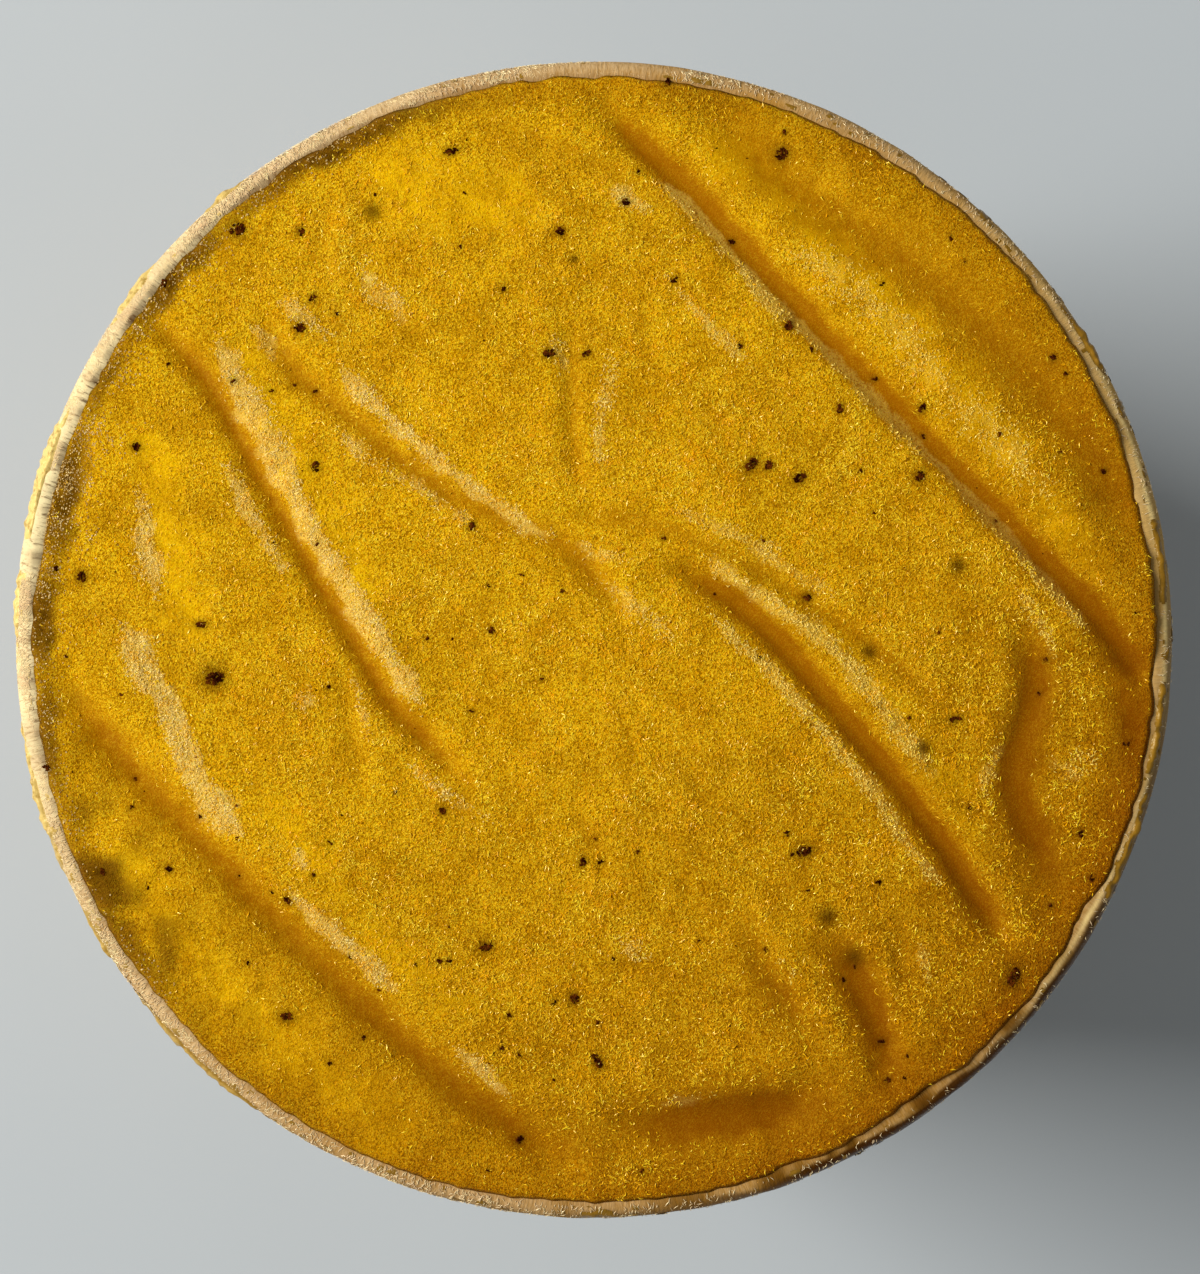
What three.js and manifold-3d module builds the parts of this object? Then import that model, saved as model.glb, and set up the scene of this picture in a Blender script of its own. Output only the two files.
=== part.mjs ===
// Ice cream pint: a full round paperboard tub of golden sorbet, open at the top.
// Millimetres, +Z up. The origin is the centre of the circle that the foot ring stands on.
import * as THREE from 'three';
import { mergeVertices } from 'three/addons/utils/BufferGeometryUtils.js';
import Module from 'manifold-3d';

const wasm = await Module();
wasm.setup();

// Tub: driving dimensions
const RIM_DIAMETER = 98;
const TUB_HEIGHT = 87;
const BOARD = 0.5;
const ROLL_WIDTH = 2.7;
const ROLL_HEIGHT = 3.0;
const CURL_END = -115;
const WALL_TAPER = 3.6;
const FOOT_HEIGHT = 6.5;
const FOOT_THICKNESS = 1.6;
const FOOT_BEVEL = 0.3;
const BASE_THICKNESS = 0.6;
const LAP_WIDTH = 9;
const LAP_ANGLE = 168;
const LAP_BITE = 0.15;
const CLEARANCE = 0.3;
const TUB_SIDES = 60;
const CURL_STEP = 29.5;

// Sorbet: driving dimensions
const FILL_RISE = 0.65;
const DOME = 0.5;
const EDGE_ROUND = 1.6;
const EDGE_ANGLE = 93;
const ROWS_ACROSS = 70;
const ROWS_ALONG = 32;
const SWEEP_DIRECTION = -45;
const LIP_ROWS = 3;
const STROKE_STEPS = 14;
const STROKE_FADE = 5;
const BANK_SPREAD = 0.5;
const WAVES = [
  { height: 0.16, length: 42, direction: 30, phase: 0.8 },
  { height: 0.11, length: 53, direction: 110, phase: 2.1 },
];

// Where the sorbet's edge draws back from the roll: place round the rim, spread, and amount, in degrees
const EDGE_DIPS = [
  { at: 158, spread: 34, amount: 14 },
  { at: 13, spread: 4, amount: 20 },
  { at: 290, spread: 3, amount: 16 },
  { at: 305, spread: 4, amount: 22 },
  { at: 331, spread: 3, amount: 18 },
  { at: 356, spread: 3, amount: 16 },
];

// Grooves that the filling paddle swept, seen from above. A bank of sorbet lies beside each one,
// to the left of its direction where offset is positive.
const STROKES = [
  { name: 'left sweep', half: 1.0, depth: 0.55, bank: 0.22, offset: 2.6,
    path: [[-39.0, 28.8], [-33.0, 22.2], [-28.2, 13.6], [-22.4, 3.4], [-16.5, -6.1], [-8.9, -13.6]] },
  { name: 'left branch', half: 0.8, depth: 0.2, bank: 0.06, offset: 1.8,
    path: [[-21.8, 0.0], [-20.3, -8.5], [-19.2, -14.4]] },
  { name: 'centre left', half: 1.0, depth: 0.38, bank: 0.16, offset: 2.4,
    path: [[-28.8, 29.7], [-25.8, 23.3], [-20.7, 18.8], [-12.3, 12.3], [-2.1, 7.5], [3.9, -0.4]] },
  { name: 'centre down', half: 0.9, depth: 0.2, bank: 0.07, offset: -2.0,
    path: [[-1.6, 29.7], [-1.9, 20.4], [-1.1, 13.2], [1.5, 10.2]] },
  { name: 'centre thin', half: 0.8, depth: 0.22, bank: 0.07, offset: 1.8,
    path: [[-5.5, 10.2], [3.9, 10.0], [12.3, 6.6], [21.7, 0.7], [31.4, -6.8]] },
  { name: 'centre right', half: 1.1, depth: 0.68, bank: 0.24, offset: 2.4,
    path: [[4.7, 7.5], [12.8, 2.4], [20.8, -6.4], [28.5, -16.0], [35.9, -27.8]] },
  { name: 'upper long', half: 1.2, depth: 0.75, bank: 0.28, offset: 4.2,
    path: [[-1.2, 46.5], [8.1, 37.7], [20.0, 25.0], [32.7, 11.9], [42.0, 2.4], [47.8, -5.5]] },
  { name: 'upper soft', half: 2.4, depth: 0.5, bank: 0.12, offset: 4.5,
    path: [[8.1, 46.0], [16.6, 38.2], [25.9, 32.1], [35.3, 23.6], [42.0, 15.1], [47.1, 6.8]] },
  { name: 'lower long', half: 1.6, depth: 0.78, bank: 0.3, offset: 4.6,
    path: [[-46.2, -1.7], [-40.3, -9.5], [-31.8, -18.5], [-21.2, -29.3], [-11.4, -37.8], [-0.4, -45.4]] },
  { name: 'pool', half: 1.8, depth: 0.5, bank: 0.18, offset: 3.2,
    path: [[0.5, -39.5], [5.6, -40.5], [10.6, -40.2], [16.6, -39.0], [21.0, -36.0]] },
  { name: 'right curve', half: 1.3, depth: 0.34, bank: 0.14, offset: -2.6,
    path: [[35.4, 3.4], [37.1, -3.4], [35.4, -11.0], [37.0, -17.0], [40.2, -21.6]] },
  { name: 'low right first', half: 1.1, depth: 0.3, bank: 0.12, offset: 2.4,
    path: [[11.9, -22.3], [14.5, -27.8], [20.0, -35.6]] },
  { name: 'low right second', half: 1.4, depth: 0.5, bank: 0.18, offset: 2.6,
    path: [[18.7, -22.5], [22.5, -29.3], [24.4, -34.8], [24.4, -39.5]] },
];

// Specks: the largest by place, length, width and direction in degrees, then smaller ones spread
// by a seeded rule
const SPECKS = [
  [-30.1, 34.6, 1.5, 1.1, 20], [-12.1, 41.1, 1.4, 0.6, 10], [-2.9, 34.4, 0.9, 0.7, 0],
  [15.8, 41.0, 1.3, 1.0, 30], [16.4, 26.5, 1.0, 0.8, 60], [20.7, 19.5, 0.9, 0.6, 70],
  [27.6, 19.5, 1.0, 0.6, 60], [13.2, 14.8, 1.5, 0.8, 45], [17.3, 13.6, 1.2, 0.8, 30],
  [27.4, 13.8, 1.0, 0.8, 80], [-3.8, 24.1, 1.2, 0.8, 10], [-24.8, 26.3, 1.1, 0.8, 0],
  [-23.5, 14.6, 1.0, 0.7, 90], [-32.0, -3.2, 1.9, 1.3, 10], [-33.1, 1.3, 1.0, 0.6, 0],
  [-43.2, 5.3, 1.1, 0.8, 80], [17.6, -17.8, 1.4, 0.9, 30], [30.4, -6.7, 1.1, 0.5, 10],
  [17.9, 3.6, 0.9, 0.7, 0], [35.3, -28.4, 1.9, 1.0, 65], [-9.1, -25.8, 1.3, 0.7, 20],
  [-1.7, -30.2, 1.0, 0.8, 45], [0.3, -35.6, 1.0, 0.7, 130], [-25.9, -31.7, 1.2, 0.8, 0],
];
const SPECK_HEIGHT = 0.3;
const SPECK_ROUGHNESS = 0.3;
const SMALL_SPECKS = 16;
const SMALL_SPECK_LENGTH = 0.8;
const SMALL_SPECK_WIDTH = 0.6;
const SPECK_TRIES = 12;
const SPECK_MARGIN = 4;
const SEED = 7;

// Values worked out from the dimensions above
const ROLL_HALF_WIDTH = ROLL_WIDTH / 2;
const ROLL_HALF_HEIGHT = ROLL_HEIGHT / 2;
const ROLL_R = RIM_DIAMETER / 2 - ROLL_HALF_WIDTH;
const ROLL_Z = TUB_HEIGHT - ROLL_HALF_HEIGHT;
const BASE_Z = FOOT_HEIGHT + CLEARANCE;
const SORBET_Z = BASE_Z + BASE_THICKNESS + CLEARANCE;

function radians(degrees) {
  return THREE.MathUtils.degToRad(degrees);
}

// A seeded draw between 0 and 1 (a linear congruential rule)
function seededDraw(seed) {
  let state = seed;
  return () => {
    state = (state * 1664525 + 1013904223) % 4294967296;
    return state / 4294967296;
  };
}

function wallInner(z) {
  return ROLL_R - ROLL_HALF_WIDTH - (ROLL_Z - z) * Math.tan(radians(WALL_TAPER));
}

// A point of the rolled rim's section: 180 is its inner side, 90 its crest, 0 its outer side
function rollPoint(angle, inset) {
  const a = radians(angle);
  const r = ROLL_R + (ROLL_HALF_WIDTH - inset) * Math.cos(a);
  return new THREE.Vector2(r, ROLL_Z + (ROLL_HALF_HEIGHT - inset) * Math.sin(a));
}

// Revolves a closed section about the Z axis
function revolve(section) {
  const closed = [...section, section[0].clone()];
  return new THREE.LatheGeometry(closed, TUB_SIDES).rotateX(Math.PI / 2);
}

function toSolid(geometry) {
  const bare = geometry.clone();
  bare.deleteAttribute('normal');
  bare.deleteAttribute('uv');
  const merged = mergeVertices(bare, 1e-4);
  return new wasm.Manifold(new wasm.Mesh({
    numProp: 3,
    vertProperties: Float32Array.from(merged.attributes.position.array),
    triVerts: Uint32Array.from(merged.index.array),
  }));
}

function toGeometry(solid) {
  const mesh = solid.getMesh();
  const geometry = new THREE.BufferGeometry();
  geometry.setAttribute('position', new THREE.BufferAttribute(mesh.vertProperties, 3));
  geometry.setIndex(new THREE.BufferAttribute(mesh.triVerts, 1));
  geometry.computeVertexNormals();
  return geometry;
}

// Side wall in one section: crimped foot ring, tapered board, and an open rolled curl at the rim
function wallSection() {
  const section = [];
  const footInner = wallInner(0) - (FOOT_THICKNESS - BOARD);
  const footOuter = wallInner(0) + BOARD;
  section.push(new THREE.Vector2(footInner + FOOT_BEVEL, 0));
  section.push(new THREE.Vector2(footOuter - FOOT_BEVEL, 0));
  section.push(new THREE.Vector2(footOuter, FOOT_BEVEL));
  for (let angle = 180; angle > CURL_END; angle -= CURL_STEP) {
    section.push(rollPoint(angle, BOARD));
  }
  section.push(rollPoint(CURL_END, BOARD));
  section.push(rollPoint(CURL_END, 0));
  for (let angle = CURL_END + CURL_STEP; angle < 180; angle += CURL_STEP) {
    section.push(rollPoint(angle, 0));
  }
  section.push(rollPoint(180, 0));
  section.push(new THREE.Vector2(wallInner(FOOT_HEIGHT), FOOT_HEIGHT));
  section.push(new THREE.Vector2(footInner + FOOT_BEVEL, FOOT_HEIGHT));
  section.push(new THREE.Vector2(footInner, FOOT_HEIGHT - FOOT_BEVEL));
  section.push(new THREE.Vector2(footInner, FOOT_BEVEL));
  return section;
}

// The glued side seam: a second layer of board, lapped up the outside of the wall
function seamLap() {
  const top = ROLL_Z - ROLL_HALF_HEIGHT - CLEARANCE;
  const sleeve = revolve([
    new THREE.Vector2(wallInner(FOOT_BEVEL) + BOARD - LAP_BITE, FOOT_BEVEL),
    new THREE.Vector2(wallInner(FOOT_BEVEL) + 2 * BOARD, FOOT_BEVEL),
    new THREE.Vector2(wallInner(top) + 2 * BOARD, top),
    new THREE.Vector2(wallInner(top) + BOARD - LAP_BITE, top),
  ]);
  const strip = new THREE.BoxGeometry(RIM_DIAMETER, LAP_WIDTH, 2 * TUB_HEIGHT);
  strip.translate(RIM_DIAMETER / 2, 0, TUB_HEIGHT).rotateZ(radians(LAP_ANGLE));
  return toSolid(sleeve).intersect(toSolid(strip));
}

function cupWall() {
  return toGeometry(toSolid(revolve(wallSection())).add(seamLap()));
}

function cupBase() {
  const r = wallInner(BASE_Z) - CLEARANCE;
  const section = [
    new THREE.Vector2(0, BASE_Z),
    new THREE.Vector2(r, BASE_Z),
    new THREE.Vector2(r, BASE_Z + BASE_THICKNESS),
    new THREE.Vector2(0, BASE_Z + BASE_THICKNESS),
  ];
  return new THREE.LatheGeometry(section, TUB_SIDES).rotateX(Math.PI / 2);
}

// Where on the roll's section the sorbet ends, at a place round the rim
function edgeAngle(theta) {
  let angle = EDGE_ANGLE;
  for (const dip of EDGE_DIPS) {
    const away = THREE.MathUtils.euclideanModulo(theta - dip.at + 180, 360) - 180;
    angle += dip.amount * Math.exp(-((away / dip.spread) ** 2));
  }
  return angle;
}

// The sorbet's side at an angle of the roll's section, clear of the roll
function sidePoint(angle) {
  return rollPoint(angle, -CLEARANCE);
}

const strokes = STROKES.map((stroke) => {
  const corners = stroke.path.map(([x, y]) => new THREE.Vector2(x, y));
  const line = new THREE.SplineCurve(corners).getPoints(STROKE_STEPS * (corners.length - 1));
  const along = [0];
  for (let i = 1; i < line.length; i++) {
    along.push(along[i - 1] + line[i].distanceTo(line[i - 1]));
  }
  return { ...stroke, line, along };
});

// The nearest point of a stroke: signed distance from it, and how far along it lies
function nearest(stroke, x, y) {
  let best = { distance: Infinity, side: 1, along: 0 };
  for (let i = 1; i < stroke.line.length; i++) {
    const a = stroke.line[i - 1];
    const b = stroke.line[i];
    const dx = b.x - a.x;
    const dy = b.y - a.y;
    const t = THREE.MathUtils.clamp(((x - a.x) * dx + (y - a.y) * dy) / (dx * dx + dy * dy), 0, 1);
    const distance = Math.hypot(x - a.x - t * dx, y - a.y - t * dy);
    if (distance < best.distance) {
      const side = Math.sign(dx * (y - a.y) - dy * (x - a.x)) || 1;
      const along = stroke.along[i - 1] + t * (stroke.along[i] - stroke.along[i - 1]);
      best = { distance, side, along };
    }
  }
  return best;
}

function strokeHeight(stroke, x, y) {
  const { distance, side, along } = nearest(stroke, x, y);
  const length = stroke.along[stroke.along.length - 1];
  const fade = THREE.MathUtils.smoothstep(Math.min(along, length - along), 0, STROKE_FADE);
  const groove = -stroke.depth * Math.exp(-((distance / stroke.half) ** 2));
  const spread = BANK_SPREAD * Math.abs(stroke.offset);
  const bank = stroke.bank * Math.exp(-(((side * distance - stroke.offset) / spread) ** 2));
  return fade * (groove + bank);
}

function waveHeight(x, y) {
  let height = 0;
  for (const wave of WAVES) {
    const along = x * Math.cos(radians(wave.direction)) + y * Math.sin(radians(wave.direction));
    height += wave.height * Math.sin((2 * Math.PI * along) / wave.length + wave.phase);
  }
  return height;
}

// Height of the sorbet's surface. Towards the edge it rounds down onto the roll.
function sorbetTop(x, y) {
  const theta = THREE.MathUtils.radToDeg(Math.atan2(y, x));
  const edge = sidePoint(edgeAngle(theta));
  const r = Math.hypot(x, y);
  let height = TUB_HEIGHT + FILL_RISE + DOME * (1 - (r / edge.x) ** 2) + waveHeight(x, y);
  for (const stroke of strokes) {
    height += strokeHeight(stroke, x, y);
  }
  height -= sidePoint(EDGE_ANGLE).y - edge.y;
  const inwards = THREE.MathUtils.clamp((edge.x - r) / EDGE_ROUND, 0, 1);
  return THREE.MathUtils.lerp(edge.y, height, Math.sqrt(1 - (1 - inwards) ** 2));
}

// Maps a square grid onto the unit disc, its rows bending little on the way
function discPoint(u, v) {
  const x = u * Math.sqrt(1 - (v * v) / 2);
  const y = v * Math.sqrt(1 - (u * u) / 2);
  return { ring: Math.hypot(x, y), theta: THREE.MathUtils.radToDeg(Math.atan2(y, x)) };
}

// Top surface on a grid turned to the sweep direction, finer across the grooves than along them.
// Each cell is split along its more level diagonal, so that edges follow the grooves and crests,
// but the four at the grid's corners are split through the corner.
function sorbetGeometry() {
  const positions = [];
  const triangles = [];
  const stride = ROWS_ACROSS + 1;
  const gridIndex = (i, j) => j * stride + i;
  const height = (index) => positions[3 * index + 2];
  for (let j = 0; j <= ROWS_ALONG; j++) {
    for (let i = 0; i <= ROWS_ACROSS; i++) {
      const { ring, theta } = discPoint((2 * j) / ROWS_ALONG - 1, (2 * i) / ROWS_ACROSS - 1);
      const turned = theta + SWEEP_DIRECTION;
      const r = ring * sidePoint(edgeAngle(turned)).x;
      const x = r * Math.cos(radians(turned));
      const y = r * Math.sin(radians(turned));
      positions.push(x, y, sorbetTop(x, y));
    }
  }
  for (let j = 0; j < ROWS_ALONG; j++) {
    for (let i = 0; i < ROWS_ACROSS; i++) {
      const a = gridIndex(i, j);
      const b = gridIndex(i + 1, j);
      const c = gridIndex(i + 1, j + 1);
      const d = gridIndex(i, j + 1);
      const cornerCell = i % (ROWS_ACROSS - 1) === 0 && j % (ROWS_ALONG - 1) === 0;
      const level = Math.abs(height(a) - height(c)) < Math.abs(height(b) - height(d));
      if (cornerCell ? (i === 0) === (j === 0) : level) {
        triangles.push(a, d, c, a, c, b);
      } else {
        triangles.push(a, d, b, b, d, c);
      }
    }
  }

  // Edge of the grid, once round, anticlockwise seen from above
  const edge = [];
  for (let j = 0; j < ROWS_ALONG; j++) edge.push(gridIndex(0, j));
  for (let i = 0; i < ROWS_ACROSS; i++) edge.push(gridIndex(i, ROWS_ALONG));
  for (let j = ROWS_ALONG; j > 0; j--) edge.push(gridIndex(ROWS_ACROSS, j));
  for (let i = ROWS_ACROSS; i > 0; i--) edge.push(gridIndex(i, 0));

  // Side: down the inner slope of the roll, then down the tapered wall to the base
  let above = edge;
  for (let row = 1; row <= LIP_ROWS + 1; row++) {
    const below = edge.map((index) => {
      const theta = Math.atan2(positions[3 * index + 1], positions[3 * index]);
      const start = edgeAngle(THREE.MathUtils.radToDeg(theta));
      const point = sidePoint(THREE.MathUtils.lerp(start, 180, Math.min(1, row / LIP_ROWS)));
      if (row > LIP_ROWS) point.set(wallInner(SORBET_Z) - CLEARANCE, SORBET_Z);
      positions.push(point.x * Math.cos(theta), point.x * Math.sin(theta), point.y);
      return positions.length / 3 - 1;
    });
    for (let k = 0; k < edge.length; k++) {
      const next = (k + 1) % edge.length;
      triangles.push(above[k], below[k], above[next], above[next], below[k], below[next]);
    }
    above = below;
  }
  positions.push(0, 0, SORBET_Z);
  const middle = positions.length / 3 - 1;
  for (let k = 0; k < above.length; k++) {
    triangles.push(above[k], middle, above[(k + 1) % above.length]);
  }

  const geometry = new THREE.BufferGeometry();
  geometry.setAttribute('position', new THREE.Float32BufferAttribute(positions, 3));
  geometry.setIndex(triangles);
  return geometry;
}

// Small specks: each new one is the farthest from the others out of a few seeded tries
function allSpecks(draw) {
  const specks = SPECKS.map(([x, y, length, width, turn]) => ({ x, y, length, width, turn }));
  const reach = ROLL_R - SPECK_MARGIN;
  for (let count = 0; count < SMALL_SPECKS; count++) {
    let best = null;
    for (let attempt = 0; attempt < SPECK_TRIES; attempt++) {
      const r = reach * Math.sqrt(draw());
      const theta = 2 * Math.PI * draw();
      const x = r * Math.cos(theta);
      const y = r * Math.sin(theta);
      const gap = Math.min(...specks.map((other) => Math.hypot(other.x - x, other.y - y)));
      if (!best || gap > best.gap) best = { x, y, gap };
    }
    const turn = 180 * draw();
    specks.push({ x: best.x, y: best.y, length: SMALL_SPECK_LENGTH, width: SMALL_SPECK_WIDTH, turn });
  }
  return specks;
}

// One speck: an uneven flattened grain, half sunk where it lies
function speckSolid(speck, z, draw) {
  const grain = mergeVertices(new THREE.IcosahedronGeometry(1, 0).deleteAttribute('normal')
    .deleteAttribute('uv'));
  const points = grain.attributes.position;
  for (let i = 0; i < points.count; i++) {
    const size = 1 - SPECK_ROUGHNESS * draw();
    points.setXYZ(i, size * points.getX(i), size * points.getY(i), size * points.getZ(i));
  }
  grain.scale(speck.length / 2, speck.width / 2, SPECK_HEIGHT);
  grain.rotateZ(radians(speck.turn)).translate(speck.x, speck.y, z);
  return toSolid(grain);
}

function sorbet() {
  const geometry = sorbetGeometry();
  const surface = new THREE.Mesh(geometry, new THREE.MeshStandardMaterial());
  const down = new THREE.Vector3(0, 0, -1);
  const draw = seededDraw(SEED);
  let solid = toSolid(geometry);
  for (const speck of allSpecks(draw)) {
    const above = new THREE.Vector3(speck.x, speck.y, 2 * TUB_HEIGHT);
    const hit = new THREE.Raycaster(above, down).intersectObject(surface)[0];
    solid = solid.add(speckSolid(speck, hit.point.z, draw));
  }
  return toGeometry(solid);
}

function piece(name, geometry, color, roughness) {
  const material = new THREE.MeshStandardMaterial({ color, roughness, metalness: 0 });
  const mesh = new THREE.Mesh(geometry, material);
  mesh.name = name;
  return mesh;
}

const pint = new THREE.Group();
pint.add(piece('cup_wall', cupWall(), 0xc9a477, 0.85));
pint.add(piece('cup_base', cupBase(), 0xc9a477, 0.85));
pint.add(piece('sorbet', sorbet(), 0xd59a0f, 0.45));

export default pint;
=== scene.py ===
# Ice cream pint: golden sorbet in a kraft paper tub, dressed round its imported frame.
# Shapes are worked out in millimetres and turned into metres when a mesh is made.
import math

import bpy
import numpy as np
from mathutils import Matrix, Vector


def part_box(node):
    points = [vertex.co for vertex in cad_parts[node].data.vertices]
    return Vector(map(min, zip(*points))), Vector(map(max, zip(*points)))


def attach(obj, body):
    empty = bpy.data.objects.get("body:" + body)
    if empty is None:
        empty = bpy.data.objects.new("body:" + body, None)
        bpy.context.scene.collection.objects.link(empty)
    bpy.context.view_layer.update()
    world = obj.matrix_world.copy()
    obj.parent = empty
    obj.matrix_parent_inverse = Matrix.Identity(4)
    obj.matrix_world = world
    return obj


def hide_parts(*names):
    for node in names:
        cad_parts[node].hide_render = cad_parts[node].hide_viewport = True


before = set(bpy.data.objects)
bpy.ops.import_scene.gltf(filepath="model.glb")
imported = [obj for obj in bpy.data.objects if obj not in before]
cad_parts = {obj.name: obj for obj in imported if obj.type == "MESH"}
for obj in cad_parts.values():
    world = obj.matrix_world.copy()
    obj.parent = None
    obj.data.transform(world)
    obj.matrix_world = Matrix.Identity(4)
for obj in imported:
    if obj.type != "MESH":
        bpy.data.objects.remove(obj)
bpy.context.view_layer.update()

MM = 0.001
BODY = "root"

# Sizes read from the frame, in millimetres
wall_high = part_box("cup_wall")[1]
base_low, base_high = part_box("cup_base")
sorbet_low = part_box("sorbet")[0]
RIM_RADIUS = round(wall_high.x / MM)
TUB_HEIGHT = round(wall_high.z / MM)
BASE_Z = base_low.z / MM
BASE_TOP = base_high.z / MM
BASE_RADIUS = base_high.x / MM
SORBET_Z = sorbet_low.z / MM

# Tub sizes that the frame's boxes don't give
BOARD = 0.5
ROLL_HALF_WIDTH = 1.35
ROLL_HALF_HEIGHT = 1.5
CURL_END = -115
WALL_TAPER = 3.6
FOOT_HEIGHT = 6.5
FOOT_THICKNESS = 1.6
FOOT_BEVEL = 0.3
LAP_ANGLE = 168
LAP_WIDTH = 9
CLEARANCE = 0.3
ROLL_RADIUS = RIM_RADIUS - ROLL_HALF_WIDTH
ROLL_Z = TUB_HEIGHT - ROLL_HALF_HEIGHT

# Rows of the side wall's section: heights of the outer and the inner side, and points on the roll
OUTER_ROWS = (1.5, 3, 4.5, 5.8, 6.3, 6.7, 7.1, 7.6, 9, 12, 20, 30, 40, 50, 60, 70, 78, 82, 84.2)
INNER_ROWS = (80, 60, 40, 20, FOOT_HEIGHT + 0.2)
ROLL_INSIDE_ROWS = 26
ROLL_ROWS = 50

# Sorbet surface, as in the frame
FILL_RISE = 0.65
DOME = 0.5
EDGE_ROUND = (0.4, 1.6)
EDGE_ANGLE = 93
EDGE_GAP = 0.2 * CLEARANCE
SIDE_GAP = 0.5 * CLEARANCE
STROKE_STEPS = 14
STROKE_FADE = 5
BANK_SPREAD = 0.5
WAVES = [(0.16, 42, 30, 0.8), (0.11, 53, 110, 2.1)]

# Windows round the rim: an amount, its middle and its half width in degrees.
# Where the sorbet's edge dips inwards on the roll, by how many degrees of the roll's section
EDGE_DIPS = [(14, 158, 34), (10, 270, 9), (20, 13, 4), (16, 290, 3), (22, 305, 4), (18, 331, 3), (16, 356, 3)]

# Where the roll is wet and darkened with painted shade on its sides away from the window, yellow from sorbet,
# and lit along its crest with a painted highlight
WET_AND_SHADE_INSIDE = [(0.9, 157, 42), (0.3, -8, 50)]
SHADE_AND_WET_OUTSIDE = [(1.3, 306, 26), (0.6, 348, 24)]
YELLOW_ROLL = [(0.35, 228, 30), (0.95, 295, 50), (1.1, 22, 46)]
CREST_LIGHT = [(1, 8, 24), (1, 334, 12)]

# Where the ice fuzz on the roll is dense
FUZZ = [(0.85, 155, 60), (0.1, 245, 25)]

# Grooves: half width, depth, bank height, bank offset (to the left of travel), amber tint, path
STROKES = {
    "left sweep": (1, 0.55, 0.22, 2.6, 0.8,
                   [(-39, 28.8), (-33, 22.2), (-28.2, 13.6), (-22.4, 3.4), (-16.5, -6.1), (-8.9, -13.6)]),
    "left branch": (0.8, 0.2, 0.06, 1.8, 0.35, [(-21.8, 0), (-20.3, -8.5), (-19.2, -14.4)]),
    "centre left": (1, 0.38, 0.16, 2.4, 0.65,
                    [(-28.8, 29.7), (-25.8, 23.3), (-20.7, 18.8), (-12.3, 12.3), (-2.1, 7.5), (3.9, -0.4)]),
    "centre down": (0.9, 0.2, 0.07, -2, 0.45, [(-1.6, 29.7), (-1.9, 20.4), (-1.1, 13.2), (1.5, 10.2)]),
    "centre thin": (0.8, 0.22, 0.07, 1.8, 0.5,
                    [(-5.5, 10.2), (3.9, 10), (12.3, 6.6), (21.7, 0.7), (31.4, -6.8)]),
    "centre right": (1.1, 0.68, 0.24, 2.4, 1,
                     [(4.7, 7.5), (12.8, 2.4), (20.8, -6.4), (28.5, -16), (35.9, -27.8)]),
    "upper long": (1.2, 0.75, 0.28, 4.2, 1,
                   [(-1.2, 46.5), (8.1, 37.7), (20, 25), (32.7, 11.9), (42, 2.4), (47.8, -5.5)]),
    "upper soft": (2.4, 0.5, 0.12, 4.5, 0.65,
                   [(8.1, 46), (16.6, 38.2), (25.9, 32.1), (35.3, 23.6), (42, 15.1), (47.1, 6.8)]),
    "lower long": (1.6, 0.78, 0.3, 4.6, 0.75,
                   [(-46.2, -1.7), (-40.3, -9.5), (-31.8, -18.5), (-21.2, -29.3), (-11.4, -37.8),
                    (-0.4, -45.4)]),
    "pool": (1.8, 0.5, 0.18, 3.2, 1, [(0.5, -39.5), (5.6, -40.5), (10.6, -40.2), (16.6, -39), (21, -36)]),
    "right curve": (1.3, 0.34, 0.14, -2.6, 1,
                    [(35.4, 3.4), (37.1, -3.4), (35.4, -11), (37, -17), (40.2, -21.6)]),
    "low right first": (1.1, 0.3, 0.12, 2.4, 0.65, [(11.9, -22.3), (14.5, -27.8), (20, -35.6)]),
    "low right second": (1.4, 0.5, 0.18, 2.6, 1,
                         [(18.7, -22.5), (22.5, -29.3), (24.4, -34.8), (24.4, -39.5)]),
    "upper faint": (0.7, 0.08, 0.03, -1.4, 0.35, [(-13.1, 45.1), (-2.9, 41.7), (8.1, 35.5), (16.6, 27.2)]),
    "right rim": (1.2, 0.2, 0.06, -2, 0.8, [(41.6, -1.3), (45, -6.4), (45.4, -11.5)]),
    "low right third": (0.9, 0.16, 0.06, 2, 0.5, [(25.9, -21.2), (25.9, -27.2), (26.3, -33.9)]),
    "short first": (0.8, 0.13, 0.05, 1.8, 0.4, [(-2.9, -11), (0, -17.4), (2.8, -22.5)]),
    "short second": (0.7, 0.1, 0.03, -1.6, 0.35, [(-15.7, -13.2), (-11.4, -14.3), (-6.7, -16.8)]),
    "short third": (0.8, 0.1, 0.03, 1.6, 0.35, [(-0.8, -27.2), (3.9, -28), (10.2, -29.3)]),
    "short fourth": (0.8, 0.1, 0.03, 1.6, 0.35, [(4.3, -6.1), (8.1, -8.7), (12.8, -8.3)]),
    "top left first": (0.9, 0.13, 0.05, 1.8, 0.35, [(-22.4, 39.9), (-22.8, 33.9), (-23.5, 28.8)]),
    "top left second": (0.8, 0.13, 0.05, 1.8, 0.35, [(-20.3, 31.4), (-16.5, 27.2), (-10.6, 22.1)]),
    "edge left": (1.2, 0.22, 0, 2, 0.5, [(-42, 20.8), (-43.7, 14.4), (-45.4, 6.8)]),
}

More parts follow.
